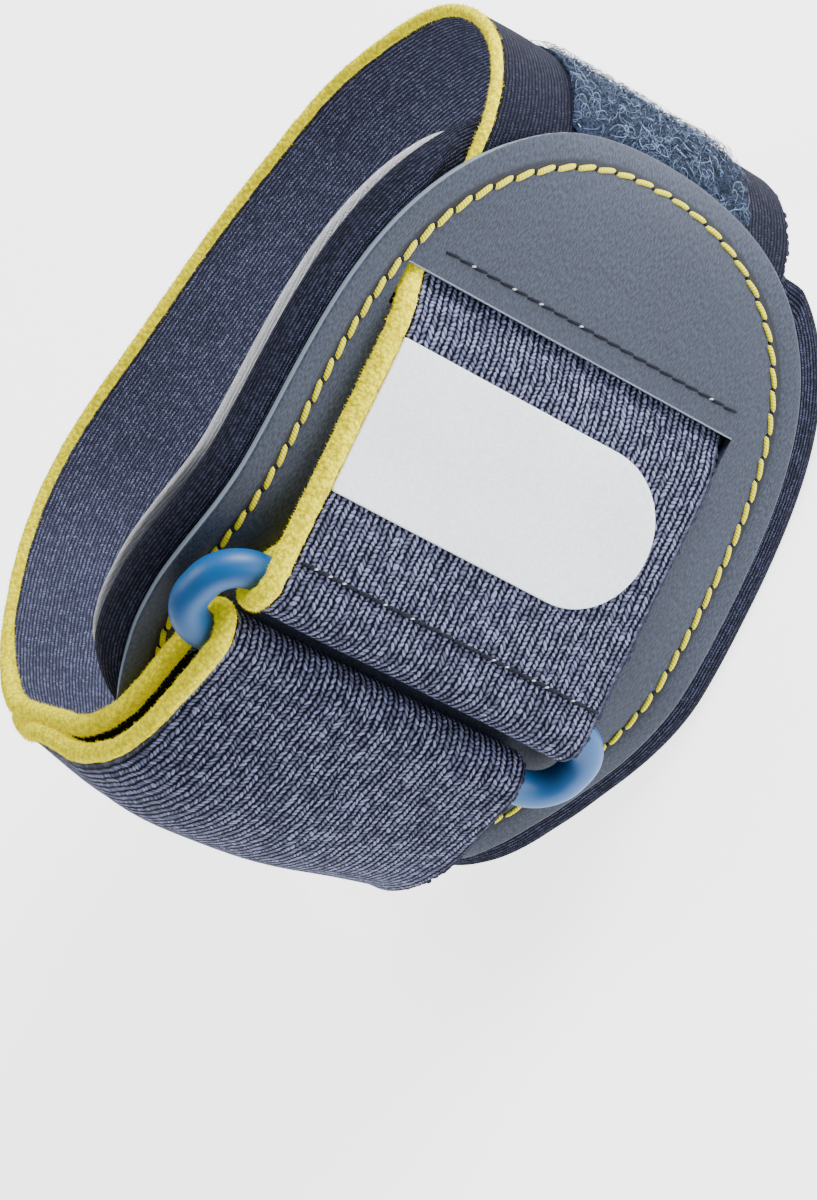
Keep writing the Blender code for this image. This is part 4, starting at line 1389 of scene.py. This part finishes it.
def pile_fibres(start, end, low, high, count, tall):
    """Fibres of the pile, each a narrow ribbon that rises out of the backing, bows and falls back.

    Along a fibre, with s from 0 to 1, it heads a way that turns evenly by its curl, and rises with
    the sine of pi times s to the power 0.7. Its lightness is its first cloth coordinate.
    """
    random = np.random.default_rng(SEED + 6)
    run = random.uniform(start + 0.5 * MM, end - 0.5 * MM, count)
    height = random.uniform(low + 0.3 * MM, high - 0.3 * MM, count)
    heading = random.uniform(0.0, 2 * math.pi, count)
    reach = random.uniform(1.0, 4.0, count) * MM
    bow = random.uniform(0.3, 1.0, count) ** 1.5 * tall
    curl = random.uniform(-4.5, 4.5, count)
    s = np.linspace(0.0, 1.0, 8)[None, :]
    angle = heading[:, None] + curl[:, None] * (s - 0.5)
    forward = reach[:, None] * (s - 0.5)
    line_run = run[:, None] + forward * np.cos(angle)
    line_height = np.clip(height[:, None] + forward * np.sin(angle), low - 0.3 * MM, high + 0.3 * MM)
    rise = bow[:, None] * np.sin(math.pi * np.clip(s * 1.05, 0.0, 1.0)) ** 0.7 + 0.1 * MM
    width = random.uniform(0.022, 0.044, (count, 1)) * MM
    edges = []
    for side in (-1, 1):
        across = line_height + side * width * np.cos(angle)
        along = np.clip(line_run - side * width * np.sin(angle), start - 0.2 * MM, end + 0.2 * MM)
        depth = -(HALF_STRAP + PILE_THICKNESS / 2 + rise + side * 0.02 * MM)
        edges.append(INNER_TRACK.at(pile_run(along, across), across, depth))
    points = np.stack(edges, axis=2)
    cloth = np.zeros(points.shape)
    cloth[..., 0] = random.uniform(0.0, 1.0, (count, 1, 1)) ** 2.5
    fibres = make_piece("pile_fibres", points, copies(quads(8, 2), 16, count), cloth)
    fibres.data.shade_smooth()
    return fibres


class ELBOW_OT_pile(Operator):
    """Loop pile on the outside of the main strap: a backing, and fibres that rise, bow and fall back"""

    bl_idname = "elbow_strap.pile"
    bl_label = "Loop pile"

    def execute(self, context):
        sizes, colours = context.scene.strap_sizes, context.scene.strap_colours
        start, end = pile_runs()
        low, high = SHELL_SHIFT - PILE_WIDTH / 2, SHELL_SHIFT + PILE_WIDTH / 2
        outline = slab_outline(start, end, low, high, (1.5 * MM,) * 4, 900)
        backing = plate("pile_backing", pile_place, outline, round_rim(0.25 * MM, PILE_THICKNESS), 40)
        surface = terry_surface("pile_backing", full(colours.pile_base, 2.2), full(colours.pile_base, 0.4))
        settle(backing, surface, "loop_pile", "loop_pile")
        fibres = pile_fibres(start, end, low, high, sizes.pile_fibres, sizes.pile_height)
        settle(fibres, fibre_surface(colours.pile), "loop_pile")
        return {"FINISHED"}


class ELBOW_OT_tab(Operator):
    """Hook tab sewn to the free end of the main strap, lying on the loop pile"""

    bl_idname = "elbow_strap.tab"
    bl_label = "Hook tab"

    def execute(self, context):
        colours = context.scene.strap_colours
        low, high = SHELL_SHIFT - TAB_WIDTH / 2, SHELL_SHIFT + TAB_WIDTH / 2
        corners = (8 * MM, 0.5 * MM, 0.5 * MM, 8 * MM)
        outline = slab_outline(TAB_RUN - TAB_LENGTH, TAB_RUN + 1.6 * MM, low, high, corners, 300)
        tab = plate("hook_tab_back", tab_place, outline, round_rim(0.35 * MM, TAB_THICKNESS), 30)
        surface = knit_surface("woven_tab", full(colours.tab, 1.6), full(colours.tab, 0.2), 0.5 * MM,
                               0.9 * MM, slant=0.0, depth=0.06 * MM, Roughness=0.8, Specular_IOR_Level=0.15)
        settle(tab, surface, "hook_tab", "hook_tab")
        return {"FINISHED"}


class ELBOW_OT_stitching(Operator):
    """Bright seam round the shell, dark seams above the slot and at the ring, and the tab's seam"""

    bl_idname = "elbow_strap.stitching"
    bl_label = "Stitching"

    def execute(self, context):
        sizes, colours = context.scene.strap_sizes, context.scene.strap_colours
        bright = thread_surface("seam_thread", full(colours.seam), full(colours.seam, 0.35))
        dark = thread_surface("dark_thread", full(colours.thread, 0.4), full(colours.thread, 0.1))
        pale = thread_surface("pale_thread", full(colours.label, 0.75), full(colours.label, 0.3))
        random = np.random.default_rng(SEED + 7)
        stitch = sizes.seam_stitch
        closed = shell_outline(-sizes.seam_inset, 2000)
        count = int(round(lengths(np.vstack((closed, closed[:1])))[-1] / stitch))
        line = shell_outline(-sizes.seam_inset, count)
        centre, ahead, up = along_place(shell_place, line[:, 0], line[:, 1], 0.0)
        ahead[0] = ahead[1]
        seam = stitch_row("shell_seam", centre, ahead, up, stitch * 1.15, sizes.seam_thread, 0.24 * MM,
                          slant=math.radians(9))
        settle(seam, bright, "coloured_edge")
        knots = stitch_row("shell_seam_knots", centre + ahead * stitch / 2, ahead, up, 0.9 * MM, 0.62 * MM,
                           0.0, slant=math.radians(30), steps=5)
        settle(knots, dark, "webbing")
        across_strap = np.arange(-23.4 * MM, 22.4 * MM, 2.1 * MM)
        across_tab = np.arange(-13, 9, 2.0) * MM
        rows = (
            # (name, ground, run, level, heights, thread)
            ("slot_seam", shell_place, SLOT_PLACE + SLOT_RUN / 2 + 3.2 * MM, 0.0, across_strap, 0.42 * MM),
            ("ring_seam", label_place, front_run(RING_PLACE), 0.6, across_strap, 0.55 * MM),
            ("tab_seam", tab_place, -FREE_END_LENGTH - 3.2 * MM, 0.0, across_tab, 0.42 * MM),
        )
        for name, place, run, level, spots, width in rows:
            centre, ahead, up = along_place(place, np.full(len(spots), run), spots, level)
            row = stitch_row(name, centre, ahead, up, 2.4 * MM, width, 0.16 * MM, slant=math.radians(6))
            settle(row, dark, "webbing")
            shown = random.uniform(0.0, 1.0, len(spots)) < 0.45
            middle = (centre + ahead * 1.1 * MM + up * 0.12 * MM)[shown]
            specks = stitch_row(name + "_specks", middle, ahead[shown], up[shown], 0.75 * MM, 0.26 * MM, 0.0,
                                slant=math.radians(20), steps=5)
            settle(specks, pale, "webbing")
        return {"FINISHED"}


def facing(place, right, up):
    """Matrix of a camera or light in the row's frame, from its place, right and up in the loop's."""
    rows = np.column_stack((right, up, np.cross(right, up), place))
    rest = Matrix.Translation(ORIGIN.tolist()) @ Matrix(AXES.tolist()).to_4x4()
    return rest @ Matrix((*rows.tolist(), (0.0, 0.0, 0.0, 1.0)))


class ELBOW_OT_stage(Operator):
    """Pale floor, soft lights and the camera"""

    bl_idname = "elbow_strap.stage"
    bl_label = "Stage"

    def execute(self, context):
        settings = context.scene.strap_stage
        corners = [(x * FLOOR_HALF, y * FLOOR_HALF, 0) for x, y in ((-1, -1), (1, -1), (1, 1), (-1, 1))]
        mesh = bpy.data.meshes.new("floor")
        mesh.from_pydata(corners, [], [(0, 1, 2, 3)])
        mesh.materials.append(floor_surface(settings.floor, settings.glow))
        floor = link("floor", mesh)
        world = bpy.data.worlds.new("studio")
        world.use_nodes = True
        sky = world.node_tree.nodes["Background"]
        sky.inputs["Color"].default_value = SKY_COLOUR
        sky.inputs["Strength"].default_value = SKY_SHARE * settings.light
        context.scene.world = world
        forward = np.array((0.0, math.cos(CAMERA_ELEVATION), -math.sin(CAMERA_ELEVATION)))
        upright = np.array((0.0, math.sin(CAMERA_ELEVATION), math.cos(CAMERA_ELEVATION)))
        level = np.array((1.0, 0.0, 0.0))
        right = math.cos(CAMERA_ROLL) * level - math.sin(CAMERA_ROLL) * upright
        up = math.sin(CAMERA_ROLL) * level + math.cos(CAMERA_ROLL) * upright
        aim = np.array(CAMERA_AIM)
        data = bpy.data.cameras.new("camera")
        data.lens = CAMERA_LENS
        data.sensor_width = CAMERA_SENSOR
        camera = link("camera", data)
        camera.matrix_world = facing(aim - forward * CAMERA_DISTANCE, right, up)
        context.scene.camera = camera
        for name, offset, size, power in LIGHTS:
            lamp = bpy.data.lights.new(name, "AREA")
            lamp.size = size
            lamp.energy = power * settings.light
            away = right * offset[0] + up * offset[1] - forward * offset[2]
            side = unit(np.cross(up, away))
            link(name, lamp).matrix_world = facing(aim + away, side, unit(np.cross(away, side)))
        return {"FINISHED"}


class ELBOW_PT_strap(Panel):
    """Sizes, colours and steps of the elbow strap"""

    bl_label = "Elbow strap"
    bl_idname = "ELBOW_PT_strap"
    bl_space_type = "VIEW_3D"
    bl_region_type = "UI"
    bl_category = "Elbow strap"

    def draw(self, context):
        layout = self.layout
        for group in (context.scene.strap_sizes, context.scene.strap_colours, context.scene.strap_stage):
            box = layout.box()
            for name in group.__annotations__:
                box.prop(group, name)
        for step in STEPS:
            layout.operator(step.bl_idname)


STEPS = (
    ELBOW_OT_stage,
    ELBOW_OT_shell,
    ELBOW_OT_pad,
    ELBOW_OT_webbing,
    ELBOW_OT_edges,
    ELBOW_OT_ring,
    ELBOW_OT_label,
    ELBOW_OT_pile,
    ELBOW_OT_tab,
    ELBOW_OT_stitching,
)
CLASSES = (StrapSizes, StrapColours, StageSettings, *STEPS, ELBOW_PT_strap)


def register():
    """Make the settings, the steps and the panel known to Blender."""
    for item in CLASSES:
        bpy.utils.register_class(item)
    bpy.types.Scene.strap_sizes = PointerProperty(type=StrapSizes)
    bpy.types.Scene.strap_colours = PointerProperty(type=StrapColours)
    bpy.types.Scene.strap_stage = PointerProperty(type=StageSettings)


def unregister():
    """Take the settings, the steps and the panel out again."""
    del bpy.types.Scene.strap_stage
    del bpy.types.Scene.strap_colours
    del bpy.types.Scene.strap_sizes
    for item in reversed(CLASSES):
        bpy.utils.unregister_class(item)


def main():
    """Run every step in order."""
    register()
    for step in STEPS:
        family, name = step.bl_idname.split(".")
        getattr(getattr(bpy.ops, family), name)()


if __name__ == "__main__":
    main()
